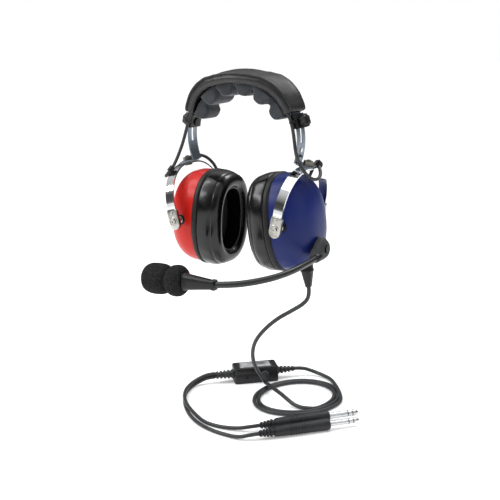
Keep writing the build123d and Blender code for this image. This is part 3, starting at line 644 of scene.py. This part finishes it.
def coverProfile(angle):
    # half section as (y, radius): underside, hem, stitched groove, side panel, piping, crowned top
    w = coverHalf(angle)
    hem = cover["inner"] + coverLift("hem", angle)
    edge = cover["outer"] + coverLift("edge", angle)
    top = cover["outer"] + coverLift("middle", angle)
    under = max(cover["inner"], hem)
    panel = edge - 0.0019 - hem - 0.0014
    return [(0, cover["inner"]), (w * 0.5, under), (w - 0.0046, under + 0.0002), (w - 0.0038, hem + 0.0002),
        (w - 0.0026, hem - 0.0004), (w - 0.0012, hem - 0.0004), (w - 0.0002, hem + 0.0002),
        (w + 0.0002, hem + 0.001), (w - 0.0003, hem + 0.0014), (w + 0.0003, hem + 0.0014 + panel * 0.12),
        (w + 0.0008, hem + 0.0014 + panel * 0.35), (w + 0.0008, hem + 0.0014 + panel * 0.6),
        (w + 0.0002, hem + 0.0014 + panel * 0.85), (w - 0.0008, edge - 0.0019), (w - 0.0012, edge - 0.0014),
        (w - 0.0004, edge - 0.0011), (w + 0.0001, edge - 0.0004), (w, edge + 0.0004),
        (w - 0.0006, edge + 0.0009), (w - 0.0015, edge + 0.0009), (w - 0.0022, edge + 0.0003),
        (w - 0.0027, edge - 0.0001), (w - 0.0036, edge + 0.0003), (w * 0.66, edge + (top - edge) * 0.6),
        (w * 0.33, edge + (top - edge) * 0.92), (0, top)]


def makeCover():
    rings = []
    first, last = cover["endAngle"], 180 - cover["endAngle"]
    count = int((last - first) / cover["step"])
    angles = [first + 0.1, first + 0.6] + [first + 1.2 + (last - first - 2.4) * k / count for k in
        range(count + 1)]
    angles += [last - 0.6, last - 0.1]
    middle = (cover["inner"] + cover["outer"]) / 2
    for index, angle in enumerate(angles):
        fromEnd = min(index, len(angles) - 1 - index)
        narrow = (0.0022, 0.0009, 0.0002)[fromEnd] if fromEnd < 3 else 0.0
        half = coverProfile(angle)
        ring = []
        for y, radius in half + [(-y, radius) for y, radius in reversed(half[1:-1])]:
            puff = 0.00022 * noise.noise(Vector((y * 90, angle * 0.11, radius * 40)))
            yIn = y - math.copysign(narrow, y) if abs(y) > narrow else 0.0
            radiusIn = radius - math.copysign(min(narrow, abs(radius - middle)), radius - middle)
            ring.append(onArc(radiusIn + puff, angle, yIn))
        rings.append(ring)
    makePiece("headbandCover", loft(rings), leather, "headband", ["headband_cover"],
        sharp=60, subdivide=1)


def makeStitches():
    shapes = []
    first, last = cover["endAngle"] + 1.6, 180 - cover["endAngle"] - 1.6
    for rise, out in ((0.0014, -0.0002), (0.0027, 0.0006)):
        step = math.degrees(stitch["pitch"] / cover["inner"])
        for k in range(int((last - first) / step)):
            angle = first + step * (k + 0.5)
            for sign in (-1, 1):
                here, ahead = [
                    onArc(cover["inner"] + coverLift("hem", a) + rise, a, sign * (coverHalf(a) + out))
                    for a in (angle, angle + 0.5)]
                shapes.append(stitchShape(here, ahead - here))
    for angle in (first + 0.6, last - 0.6):
        w = coverHalf(angle) - 0.0045
        count = int(2 * w / stitch["pitch"])
        for k in range(count + 1):
            y = -w + 2 * w * k / count
            edge = coverLift("edge", angle)
            crown = (coverLift("middle", angle) - edge) * (1 - (y / w) ** 2)
            shapes.append(stitchShape(onArc(cover["outer"] + edge + crown + 0.0002, angle, y),
                Vector((0, 1, 0))))
    makePiece("coverStitches", joined(shapes), thread, "headband")


def lumpShape(centre):
    # one foam roll: flat against the cover, round below, soft at its two ends
    rings = []
    half = padding["span"] / 2
    yHalf = min(padding["widest"], coverHalf(centre) - padding["setBack"])
    for y, scale in ((-1, 0.86), (-0.985, 0.94), (-0.94, 0.985), (-0.6, 1.0), (-0.2, 1.01), (0.2, 1.01),
            (0.6, 1.0), (0.94, 0.985), (0.985, 0.94), (1, 0.86)):
        ring = []
        for k in range(25):
            s = math.cos(math.pi * k / 24)
            depth = padding["depth"] * scale * math.sin(math.pi * k / 24) ** 0.5
            angle = centre + half * scale * math.copysign(abs(s) ** 0.62,
                s) * (1 - 0.1 * depth / padding["depth"])
            ring.append(onArc(cover["inner"] + 0.0003 - depth, angle, yHalf * y))
        for k in range(1, 6):
            ring.append(onArc(cover["inner"] + 0.0003, centre - half * scale + 2 * half * scale * k / 6,
                yHalf * y))
        rings.append(ring)
    return loft(rings)


def swell(piece):
    # foam that presses out against its cloth, then comes to rest
    voxels = piece.modifiers.new("voxels", "REMESH")
    voxels.mode = "VOXEL"
    voxels.voxel_size = padding["voxel"]
    graph = bpy.context.evaluated_depsgraph_get()
    mesh = bpy.data.meshes.new_from_object(piece.evaluated_get(graph))
    material = piece.data.materials[0]
    piece.modifiers.clear()
    piece.data = mesh
    before = [vertex.co.copy() for vertex in mesh.vertices]
    pinned = piece.vertex_groups.new(name="glued")
    high = cover["inner"] - 0.0012
    glued = [i for i, place in enumerate(before) if (place - bandCentre).xz.length > high]
    pinned.add(glued, 1.0, "REPLACE")
    cloth = piece.modifiers.new("cloth", "CLOTH")
    cloth.settings.vertex_group_mass = "glued"
    cloth.settings.use_pressure = True
    cloth.settings.uniform_pressure_force = padding["pressure"]
    cloth.settings.effector_weights.gravity = 0
    cloth.settings.tension_stiffness = 40
    for number in range(1, 21):
        scene.frame_set(number)
    graph = bpy.context.evaluated_depsgraph_get()
    after = bpy.data.meshes.new_from_object(piece.evaluated_get(graph))
    piece.modifiers.clear()
    piece.data = after
    for vertex, start in zip(after.vertices, before):
        step = vertex.co - start
        if step.length > padding["mostSwell"]:
            vertex.co = start + step.normalized() * padding["mostSwell"]
    scene.frame_set(1)
    if not after.materials:
        after.materials.append(material)
    after.shade_smooth()
    soften(piece, 1)


def makePadding():
    middle = (padding["count"] - 1) / 2
    shapes = [lumpShape(90 + padding["pitch"] * (index - middle)) for index in range(padding["count"])]
    piece = makePiece("headbandPad", joined(shapes), padCloth, sharp=180)
    swell(piece)
    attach(piece, "headband")
    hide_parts("headband_pad")


knob = {"angle": 14.5, "seat": 0.0673, "radius": 0.0066, "length": 0.007, "lobes": 6, "bite": 0.0011}
endFitting = {"inner": 0.0441, "outer": 0.0489, "halfWidth": 0.006, "top": 0.0125, "bottom": 0.009}


def knobShape():
    # lobed grip with softened edges and a raised hub
    rings = []
    for along, scale in ((0.0, 0.9), (0.0006, 0.98), (0.0012, 1.0), (0.0056, 1.0), (0.0066, 0.96),
            (0.007, 0.88), (0.007, 0.62), (0.0064, 0.55), (0.0064, 0.4), (0.0072, 0.36)):
        ring = []
        for a in around(96):
            bite = knob["bite"] * (0.5 + 0.5 * math.cos(knob["lobes"] * a)) ** 2
            radius = (knob["radius"] - bite * min(1, max(0, (scale - 0.6) * 4))) * scale
            ring.append(Vector((radius * math.cos(a), radius * math.sin(a), along)))
        rings.append(ring)
    return moved(loft(rings), aim(onArc(knob["seat"], knob["angle"]), onArc(1, knob["angle"]) - bandCentre))


def endFittingShape():
    # cast sleeve on the yoke's tip: rounded tongue, boss, pin head and a rivet
    e = endFitting
    shapes = []
    for sign in (-1, 1):
        outline = []
        for k in range(17):
            a = math.pi * k / 16
            outline.append((e["halfWidth"] * math.cos(a), -(e["bottom"] - e["halfWidth"]) - e["halfWidth"] *
                math.sin(a)))
        outline += [(-e["halfWidth"], e["top"] - 0.0015), (-e["halfWidth"] + 0.0015, e["top"]),
            (e["halfWidth"] - 0.0015, e["top"]), (e["halfWidth"], e["top"] - 0.0015)]
        rings = []
        for depth, inset in ((e["inner"], 0.0006), (e["inner"] + 0.0005, 0.0), (e["outer"] - 0.0009, 0.0),
                (e["outer"] - 0.0002, 0.0005), (e["outer"], 0.0012)):
            scaleX = 1 - inset / e["halfWidth"]
            rings.append([Vector((x * scaleX, sign * depth, 0.0017 + (z - 0.0017) * (1 - inset / 0.0107)))
                for x, z in outline])
        shapes.append(loft(rings))
        out = Vector((0, sign, 0))
        boss = [(0, 0.0048), (0.0004, 0.0048), (0.0007, 0.0044), (0.0007, 0.0038), (0.0003, 0.0036)]
        head = [(0, 0.0033), (0.0010, 0.0032), (0.0014, 0.0026), (0.0014, 0.0014), (0.0006, 0.0012)]
        rivet = [(0, 0.0019), (0.0005, 0.0018), (0.0009, 0.0012), (0.001, 0.0004)]
        shapes.append(lathe(boss, (0, sign * e["outer"] - sign * 0.0002, 0), out))
        shapes.append(lathe(head, (0, sign * e["outer"] - sign * 0.0001, 0), out, 6))
        shapes.append(lathe(rivet, (0, sign * e["outer"] - sign * 0.0002, 0.0085), out, 20))
        spacer = [(0, 0.0038), (0.0012, 0.0038), (0.0016, 0.003), (0.0058, 0.003), (0.0062, 0.0036),
            (0.0074, 0.0036)]
        shapes.append(lathe(spacer, (0, sign * e["inner"], 0), -out, 24))
    return joined(shapes)


def zipTie(centre, along, reach, head):
    # a band round a lead with its square lock
    place = aim(centre, along)
    section = ((reach, -0.0011), (reach + 0.0006, -0.0009), (reach + 0.0006, 0.0009), (reach, 0.0011))
    band = [[place @ Vector((r * math.cos(a), r * math.sin(a), z)) for a in around(24)] for r, z in section]
    lock = roundedBlock(0.0022, 0.0026, -0.0012, 0.0012, 0.0005, 0.0003, 3)
    lockPlace = place @ Matrix.Rotation(head, 4, "Z") @ Matrix.Translation((reach + 0.0007, 0, 0))
    return joined([loft(band, closed=True), moved(lock, lockPlace)])


def makeFittings():
    for side, place in sides.items():
        makePiece(f"clampKnob_{side}", moved(knobShape(), place), blackPlastic, f"knob_{side}",
            [f"clamp_knob_{side}"], sharp=30)
        makePiece(f"yokeEnds_{side}", moved(endFittingShape(), place @ toYoke), castZinc, f"yoke_{side}",
            [f"yoke_ends_{side}"], sharp=30)
        route = [Vector(point) for point in crossover[side]["route"]]
        if side == "left":
            near, far = route[crossover[side]["clip"]:][:2]
            tie = zipTie(near.lerp(far, 0.5), far - near, 0.0031, math.pi / 2)
            makePiece("leadTie_left", tie, blackPlastic, "yoke_left")
        first, second = route[:2]
        makePiece(f"bandTie_{side}", zipTie(second, second - first, 0.0018, 1.2), blackPlastic, "headband")


cup = {"slots": {"left": "blue_shell", "right": "red_shell"}, "ringIn": -0.0195, "base": -0.0135,
    "skirt": 0.006, "tip": 0.0243, "domeY": 0.0358, "domeZ": 0.0487, "wall": 0.0024, "ringY": 0.0376,
    "ringZ": 0.0502, "holeY": 0.026, "holeZ": 0.039}
cushion = {"y": 0.0373, "z": 0.0502, "face": -0.043, "taper": 0.0022, "power": 2.5}


def domeShape():
    knee = cup["base"] + cup["skirt"]
    outer = [(cup["base"], cup["domeY"] - 0.0005, cup["domeZ"] - 0.0005),
        (cup["base"] + 0.0004, cup["domeY"], cup["domeZ"]), (knee - 0.002, cup["domeY"], cup["domeZ"])]
    inner = []
    steps = 26
    for k in range(steps):
        a = math.pi / 2 * k / steps
        reach = math.cos(a) ** 0.75
        rise = math.sin(a) ** 0.9
        outer.append((knee + (cup["tip"] - knee) * rise, cup["domeY"] * reach, cup["domeZ"] * reach))
        wallTip = cup["tip"] - cup["wall"]
        inner.append((knee + (wallTip - knee) * rise, (cup["domeY"] - cup["wall"]) * reach,
            (cup["domeZ"] - cup["wall"]) * reach))
    outer.append((cup["tip"], 0.0012, 0.0016))
    inner.append((cup["tip"] - cup["wall"], 0.0012, 0.0016))
    base = [(cup["base"], cup["domeY"] - cup["wall"], cup["domeZ"] - cup["wall"])]
    return loft(ovalRings(list(reversed(outer)) + base + inner))


def ringShape():
    y, z = cup["ringY"], cup["ringZ"]
    profile = [(cup["ringIn"], cup["holeY"], cup["holeZ"]), (cup["ringIn"], y - 0.0014, z - 0.0014),
        (cup["ringIn"] + 0.0006, y - 0.0004, z - 0.0004), (cup["ringIn"] + 0.0014, y, z),
        (cup["base"] - 0.0022, y, z), (cup["base"] - 0.0008, y - 0.0005, z - 0.0005),
        (cup["base"], y - 0.0016, z - 0.0016), (cup["base"], cup["holeY"], cup["holeZ"])]
    return loft(ovalRings(profile), closed=True)


def cushionShape():
    # side wall, sewn fold, roll over the face, thin lip round the opening, and the inner wall
    base = cup["ringIn"]
    depth = base - cushion["face"]
    section = [(0.0012, 0.0), (0.0003, 0.02), (0.0, 0.08), (-0.0002, 0.25), (-0.0002, 0.42), (0.0002, 0.55),
        (0.0008, 0.62), (0.0014, 0.645), (0.0013, 0.67), (0.0012, 0.71), (0.0019, 0.8), (0.0033, 0.89),
        (0.0054, 0.955), (0.0078, 0.99), (0.0101, 1.0), (0.0122, 0.975), (0.0138, 0.92), (0.0148, 0.86),
        (0.0152, 0.835), (0.0157, 0.84), (0.0162, 0.825), (0.0163, 0.79), (0.0163, 0.4), (0.0163, 0.0)]
    rings = []
    steps = 128
    for inset, share in section:
        ring = []
        lean = cushion["taper"] * share if inset < 0.012 else cushion["taper"]
        power = 2.35 + (cushion["power"] - 2.35) * share
        for k, (y, z) in enumerate(superOval(cushion["y"] - inset - lean, cushion["z"] - inset - lean, power,
                steps)):
            a = 2 * math.pi * k / steps
            soft = max(0.0, 1 - abs(share - 0.5) * 1.9) if inset < 0.012 else 0.0
            pucker = 0.00022 * soft * (math.sin(9 * a + 0.6) + 0.7 * math.sin(17 * a + 2.1))
            pucker += 0.0003 * noise.noise(Vector((3 * math.cos(a), 3 * math.sin(a), share * 3)))
            scale = 1 + pucker / 0.044
            ring.append(Vector((base - depth * share, y * scale, z * scale)))
        rings.append(ring)
    return loft(rings, closed=True)


def makeCups():
    flange = [(0, 0.0052), (0.0024, 0.0052), (0.0028, 0.0048), (0.0028, 0.0044)]
    bushes = joined([lathe(flange, (0, end * 0.0336, 0), (0, end, 0)) for end in (-1, 1)])
    for side, mirror in sides.items():
        place = mirror @ toCup
        body = f"cup_{side}"
        makePiece(f"earCup_{side}", moved(domeShape(), place), shellPlastic[side], body,
            [f"cup_shell_{side}"], sharp=50)
        makePiece(f"cupRing_{side}", moved(ringShape(), place), ringPlastic, body,
            [f"backing_ring_{side}"], sharp=35)
        seal = makePiece(f"earCushion_{side}", moved(cushionShape(), place), sealSkin, body,
            [f"ear_seal_{side}"], sharp=70, subdivide=1)
        makePiece(f"pivotBushes_{side}", moved(bushes, mirror @ Matrix.Translation(cupPivot)), blackPlastic,
            body)


def glandShape():
    # squarish boot that narrows to the cord
    rings = []
    for z, halfX, halfY in ((-0.042, 0.006, 0.0052), (-0.0475, 0.006, 0.0052), (-0.0483, 0.0064, 0.0056),
            (-0.0496, 0.0064, 0.0056), (-0.0503, 0.0058, 0.005), (-0.0545, 0.0051, 0.0044),
            (-0.0595, 0.0041, 0.0038), (-0.064, 0.0033, 0.0032), (-0.0654, 0.003, 0.003),
            (-0.066, 0.0026, 0.0026)):
        rings.append([toCup @ Vector((0.008 + x, -0.006 + y, z)) for x,
            y in superOval(halfX, halfY, 3.2, 40)])
    return loft(rings)


boom = {"radius": 0.0031, "seat": 0.08405, "disc": (-0.006, -0.025, 0.011),
    "wing": (-0.022, -0.0305, 0.0052), "route": [(0.09, -0.018, -0.0305), (0.09, -0.045, -0.032),
    (0.088, -0.071, -0.0338), (0.0795, -0.093, -0.0359), (0.064, -0.109, -0.038), (0.049, -0.1175, -0.0391),
    (0.034, -0.12, -0.04)]}
mic = {"y": -0.12, "z": -0.04}


def wingOutline(grow):
    # outline round two circles, seen along X
    (ay, az, ar), (by, bz, br) = boom["disc"], boom["wing"]
    ar, br = ar + grow, br + grow
    toward = math.atan2(bz - az, by - ay)
    spread = math.acos((ar - br) / math.hypot(by - ay, bz - az))
    far = [toward + spread + (2 * math.pi - 2 * spread) * k / 24 for k in range(25)]
    near = [toward - spread + 2 * spread * k / 12 for k in range(13)]
    return ([(ay + ar * math.cos(a), az + ar * math.sin(a)) for a in far] +
        [(by + br * math.cos(a), bz + br * math.sin(a)) for a in near])


def makeBoom():
    seat = boom["seat"]
    rings = []
    for x, grow in ((0.0, -0.0008), (0.0006, 0.0), (0.0046, 0.0), (0.0054, -0.0003), (0.0082, -0.0026),
            (0.009, -0.0036), (0.0092, -0.0046)):
        rings.append([Vector((seat + x, y, z)) for y, z in wingOutline(grow)])
    makePiece("boomHousing", loft(rings), housingPlastic, "boom", ["boom_housing"], sharp=25)
    path = readPath(boom["route"])
    tube = makePiece("boomTube", tubeShape(path, boom["radius"], 24), boomSleeve,
        replaces=["boom_tube", "boom_flex"])
    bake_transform(tube)
    start = Vector(boom["route"][0])
    out = Vector(boom["route"][1]) - start
    sleeve = [(0.0, 0.0045), (0.0065, 0.0044), (0.0072, 0.0041), (0.0082, 0.0034), (0.0084, 0.0028)]
    makePiece("boomCollar", lathe(sleeve, start, out), blackPlastic, "boom", sharp=25)


def makeMicrophone():
    rings = []
    for x, halfY, halfZ in ((0.0368, 0.0034, 0.0036), (0.0366, 0.0042, 0.0046), (0.0358, 0.0046, 0.0051),
            (0.0334, 0.0046, 0.0051), (0.0328, 0.004, 0.0045), (0.024, 0.0047, 0.0054),
            (0.012, 0.0056, 0.0067), (0.004, 0.0061, 0.0076), (0.0032, 0.0067, 0.0082),
            (0.0008, 0.0068, 0.0083), (-0.0004, 0.0064, 0.0078), (-0.004, 0.006, 0.0074)):
        rings.append([Vector((x, mic["y"] + y, mic["z"] + z)) for y, z in superOval(halfY, halfZ, 3.4, 48)])
    makePiece("micHousing", loft(rings), blackPlastic, "mic_head", ["mic_body"], sharp=30)
    profile = [(0.0012, 0.0078), (0.0018, 0.0096), (0.001, 0.012), (-0.0008, 0.0138), (-0.0035, 0.0149),
        (-0.0065, 0.0151), (-0.0095, 0.0147), (-0.0122, 0.0135), (-0.014, 0.0116), (-0.0148, 0.0101),
        (-0.0156, 0.0112), (-0.0172, 0.0129), (-0.02, 0.0143), (-0.0245, 0.015), (-0.0295, 0.015),
        (-0.034, 0.0147), (-0.0378, 0.0137), (-0.0404, 0.0118), (-0.0417, 0.009), (-0.0422, 0.0058),
        (-0.0424, 0.003), (-0.0424, 0.0004)]
    verts, faces = lathe([(-x, radius) for x, radius in profile], (0, mic["y"], mic["z"]), (-1, 0, 0), 72)
    rough = []
    for place in verts:
        axis = Vector((place.x, mic["y"], mic["z"]))
        out = place - axis
        lift = 0.00022 * noise.noise(place * 900) + 0.0003 * noise.noise(place * 220)
        rough.append(axis + out * (1 + lift / max(out.length, 0.004)))
    sleeve = makePiece("foamWindscreen", (rough, faces), foam, "mic_head", ["windscreen"], sharp=180,
        subdivide=1)


def boxPlace(along=0.0, across=0.0, height=0.0):
    return Matrix.Translation(boxPoint(along, across, height)) @ Matrix.Rotation(boxTurn, 4, "Z")


def ribbedRelief(start, out, rootRadius, tipRadius, length, ribs, wide):
    # rows of collars that get smaller towards the cord
    profile = [(0.0, rootRadius * 0.8), (0.0, rootRadius), (0.003, rootRadius), (0.0034, rootRadius * 0.82)]
    pitch = (length - 0.005) / ribs
    for k in range(ribs):
        share = (k + 1) / ribs
        radius = rootRadius + (tipRadius - rootRadius) * share
        low = 0.004 + pitch * k
        profile += [(low + pitch * 0.3, radius * 0.7), (low + pitch * 0.36, radius),
            (low + pitch * 0.88, radius * 0.97), (low + pitch * 0.95, radius * 0.7)]
    profile += [(length - 0.0004, tipRadius * 0.8), (length, tipRadius * 0.7)]
    shape = lathe(profile, (0, 0, 0), (0, 0, 1), 36)
    return moved(shape, aim(start, out) @ Matrix.Diagonal((wide, 1, 1, 1)))


def makeBox():
    length, width, corner, gap = box["length"], box["width"], box["corner"], box["gap"]
    lower = roundedBlock(length, width, 0.0, box["split"] - gap, corner, 0.001)
    upper = roundedBlock(length, width, box["split"] + gap, box["height"], corner, box["edge"])
    seam = roundedBlock(length - 0.0012, width - 0.0012, box["split"] - 0.0006, box["split"] + 0.0006,
        corner, 0.0002)
    makePiece("boxLower", moved(joined([lower, seam]), boxPlace()), gripPlastic, "headband",
        ["box_shell_lower"], sharp=30)
    makePiece("boxUpper", moved(upper, boxPlace()), blackPlastic, "headband",
        ["box_shell_upper"], sharp=30)
    frameShape = roundedBlock(0.037, 0.0195, box["height"] - 0.0003, box["height"] + 0.0004, 0.003, 0.0002)
    plate = roundedBlock(0.0335, 0.0165, box["height"] - 0.0002, box["height"] + 0.0006, 0.002, 0.0002)
    makePiece("labelFrame", moved(frameShape, boxPlace()), nickel, "headband", sharp=30)
    makePiece("labelPlate", moved(plate, boxPlace()), labelMetal, "headband", ["box_label"],
        sharp=30)
    rib = roundedBlock(0.0011, 0.0016, 0.0035, 0.0148, 0.0004, 0.0003, 3)
    ribs = [moved(rib, boxPlace(0.0158 + 0.0019 * k, width / 2)) for k in range(5)]
    makePiece("boxGripRibs", joined(ribs), blackPlastic, "headband", sharp=30)
    socket = [(0.0, 0.0022), (0.0004, 0.0022), (0.0006, 0.0019), (0.0006, 0.0013), (-0.0006, 0.0011)]
    makePiece("boxSocket", lathe(socket, boxPoint(-0.011, width / 2, 0.0072), boxSide, 24), blackPlastic,
        "headband", sharp=30)
    screwHead = [(0.0, 0.0014), (0.0003, 0.0014), (0.0005, 0.0011), (0.0005, 0.0006), (0.0001, 0.0005)]
    screws = [lathe(screwHead, boxPoint(along, across, box["height"] - 0.0001), (0, 0, 1), 20)
        for along in (-0.0212, 0.0212) for across in (-0.0088, 0.0088)]
    makePiece("boxScrews", joined(screws), blackSteel, "headband", sharp=30)
    end, reach = length / 2 - 0.001, box["relief"] + 0.001
    reliefs = [ribbedRelief(boxPoint(end, 0, box["reliefZ"]), boxOut, 0.0048, 0.0031, reach, 4, 1.05),
        ribbedRelief(boxPoint(-end, 0, box["reliefZ"]), -boxOut, 0.0052, 0.0042, reach, 4, 1.15)]
    makePiece("boxReliefs", joined(reliefs), cordVinyl, "headband", ["box_reliefs"], sharp=30)
    face = aim(boxPoint(box["dialAlong"], width / 2 + 0.0001, box["dialZ"]), boxSide)
    rings = []
    for along, radius, ridge in ((0.0, 0.0047, 0), (0.0003, 0.005, 1), (0.0024, 0.005, 1),
            (0.003, 0.0045, 0.6), (0.003, 0.0038, 0), (0.0024, 0.0036, 0), (0.0024, 0.0025, 0),
            (0.003, 0.0023, 0), (0.003, 0.0012, 0), (0.0026, 0.001, 0)):
        ring = []
        for a in around(96):
            r = radius - 0.00025 * ridge * (0.5 + 0.5 * math.cos(24 * a))
            ring.append(face @ Vector((r * math.cos(a), r * math.sin(a), along)))
        rings.append(ring)
    makePiece("volumeKnob", loft(rings), dialPlastic, "volume_dial", ["volume_dial"],
        sharp=30)


def gripShape(start):
    # ribbed relief, waist, and a grip that swells to a rounded end
    relief = plugs["reliefLength"]
    profile = [(0.0, 0.0022), (0.0002, 0.0026)]
    for k in range(4):
        low = 0.0006 + 0.0034 * k
        radius = 0.003 + 0.00045 * k
        profile += [(low, radius * 0.76), (low + 0.0004, radius + 0.0003), (low + 0.0021, radius + 0.0004),
            (low + 0.0026, radius * 0.76)]
    profile += [(relief, 0.0039), (relief + 0.0006, 0.0047), (relief + 0.003, 0.0052),
        (relief + 0.012, 0.0054), (relief + 0.03, 0.0056), (relief + 0.05, 0.006), (relief + 0.0545, 0.006),
        (relief + 0.0562, 0.0056), (relief + 0.057, 0.0046), (relief + 0.057, 0.0036)]
    ridge = [(0.0, 0.0052), (0.0003, 0.0059), (0.0009, 0.0059), (0.0012, 0.0052)]
    ridges = [lathe(ridge, start + plugOut * (relief + 0.016 + 0.0028 * k), plugOut, 40) for k in range(7)]
    return joined([lathe(profile, start, plugOut, 40), *ridges])


def makePlugs():
    for name in ("phone", "mic"):
        plug = plugs[name]
        start = Vector(plug["start"])
        makePiece(f"{name}PlugGrip", gripShape(start), gripPlastic, "headband",
            [f"{name}_plug_handle"], sharp=30)
        root = start + plugOut * (plugs["reliefLength"] + plugs["gripLength"])
        radius = plug["pinRadius"]
        ring = [(0.0, radius - 0.0006), (0.0, radius - 0.0001), (0.0009, radius - 0.0001),
            (0.0009, radius - 0.0006)]
        bands = [lathe(ring, root + plugOut * along, plugOut, 28) for along in (0.01922, 0.02418)]
        makePiece(f"{name}PinBands", joined(bands), blackPlastic, "headband", sharp=30)
        flange = [(0.0, radius + 0.0004), (0.0011, radius + 0.0004), (0.0014, radius)]
        makePiece(f"{name}PinCollar", lathe(flange, root, plugOut, 28), nickel, "headband",
            sharp=30)


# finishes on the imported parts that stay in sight
nodeFinishes = {"headband_spring": armSteel, "boom_boss": blackPlastic, "boom_bolt": blackSteel,
    "mic_capsule": labelMetal, "box_board": laminate, "phone_plug_pin": nickel, "mic_plug_pin": nickel,
    "crossover_lead_band": cordVinyl}
pairFinishes = {"arm": armSteel, "yoke": chrome, "arm_rivets": nickel, "swivel_bolt": darkZinc,
    "clamp_screw": blackSteel, "clamp_block": blackPlastic, "lead_clip": blackPlastic, "cup_liner": foam,
    "speaker": blackPlastic, "speaker_mesh": speakerCloth}


def finishNodes():
    pairs = {f"{name}_{side}": material for name, material in pairFinishes.items() for side in sides}
    for name, material in {**nodeFinishes, **pairs}.items():
        mesh = frame["nodes"][name].data
        mesh.materials.clear()
        mesh.materials.append(material)


def whitePaper():
    # seamless paper sweep: matt white with faint fibres
    material, skin = newMaterial("whitePaper", "#F4F4F4", 0.95, Emission_Color=linear("#FFFFFF"),
        Emission_Strength=0.22)
    mottle(skin, 0.08, "#F1F1F1", "#F6F6F6", (0.8, 0.9))
    return material


# soft boxes: place, target, size, and power in watts
lamps = {
    "keyBox": ((-0.75, -0.46, 0.98), (-0.07, 0, 0.01), (0.3, 0.55), 3.5),
    "fillBox": ((1.5, -0.35, 0.45), (0.06, 0, -0.03), (1.3, 1.1), 2.5),
    "backBox": ((0.22, 0.72, 1.0), (0.05, 0, 0.01), (0.5, 0.4), 5),
    "stripBox": ((-0.95, -1.0, 0.82), (0, 0, 0), (0.9, 0.3), 8)}
# greys of the room from the horizon at 0 to overhead at 1, with a dark band that the metal shows
roomGreys = {0.0: "#9A9A9A", 1.0: "#F0F0F0", 0.06: "#5A5A5A", 0.3: "#4C4C4C", 0.48: "#A0A0A0", 0.7: "#E2E2E2"}


def addLight(name, place, target, size, energy):
    light = bpy.data.lights.new(name, "AREA")
    light.shape = "RECTANGLE"
    light.size, light.size_y = size
    light.energy = energy
    lamp = bpy.data.objects.new(name, light)
    lamp.location = place
    lamp.rotation_euler = (Vector(target) - Vector(place)).to_track_quat("-Z", "Y").to_euler()
    scene.collection.objects.link(lamp)


def makeStudio():
    sheet = lathe([(floorZ - 0.01, 12), (floorZ - 0.00005, 12)], (0, 0, 0), (0, 0, 1), 64)
    makePiece("floor", sheet, whitePaper())
    for name, facts in lamps.items():
        addLight(name, *facts)
    sun = bpy.data.objects.new("skyPanel", bpy.data.lights.new("skyPanel", "SUN"))
    sun.data.energy = 1.2
    sun.data.angle = 1.0
    sun.rotation_euler = (0.12, -0.1, 0)
    scene.collection.objects.link(sun)
    world = bpy.data.worlds.new("studio")
    world.use_nodes = True
    scene.world = world
    tree = world.node_tree
    room = tree.nodes["Background"]
    height = addNode(tree, "SeparateXYZ", links={"Vector": addNode(tree, "TexCoord").outputs["Generated"]})
    sky = addNode(tree, "ValToRGB", links={"Fac": height.outputs["Z"]})
    ramp = sky.color_ramp
    for k, (position, grey) in enumerate(roomGreys.items()):
        element = ramp.elements[k] if k < 2 else ramp.elements.new(position)
        element.position = position
        element.color = linear(grey)
    tree.links.new(sky.outputs["Color"], room.inputs["Color"])
    plain = addNode(tree, "Background", {"Color": linear("#FFFFFF"), "Strength": 1.0})
    rays = addNode(tree, "LightPath")
    mix = addNode(tree, "MixShader", links={"Fac": rays.outputs["Is Camera Ray"]})
    tree.links.new(room.outputs["Background"], mix.inputs[1])
    tree.links.new(plain.outputs["Background"], mix.inputs[2])
    tree.links.new(mix.outputs["Shader"], tree.nodes["World Output"].inputs["Surface"])
    scene.view_settings.view_transform = "Standard"


makeMainCord()
makeCrossoverLeads()
print("cords made")
makeCover()
makeStitches()
makePadding()
print("headband made")
makeFittings()
makeCups()
makePiece("cordBoot", glandShape(), blackPlastic, "cup_left", ["cord_gland"], sharp=30)
print("cups made")
makeBoom()
makeMicrophone()
print("boom made")
makeBox()
makePlugs()
makePlugLeads()
print("box and plugs made")
finishNodes()
makeStudio()
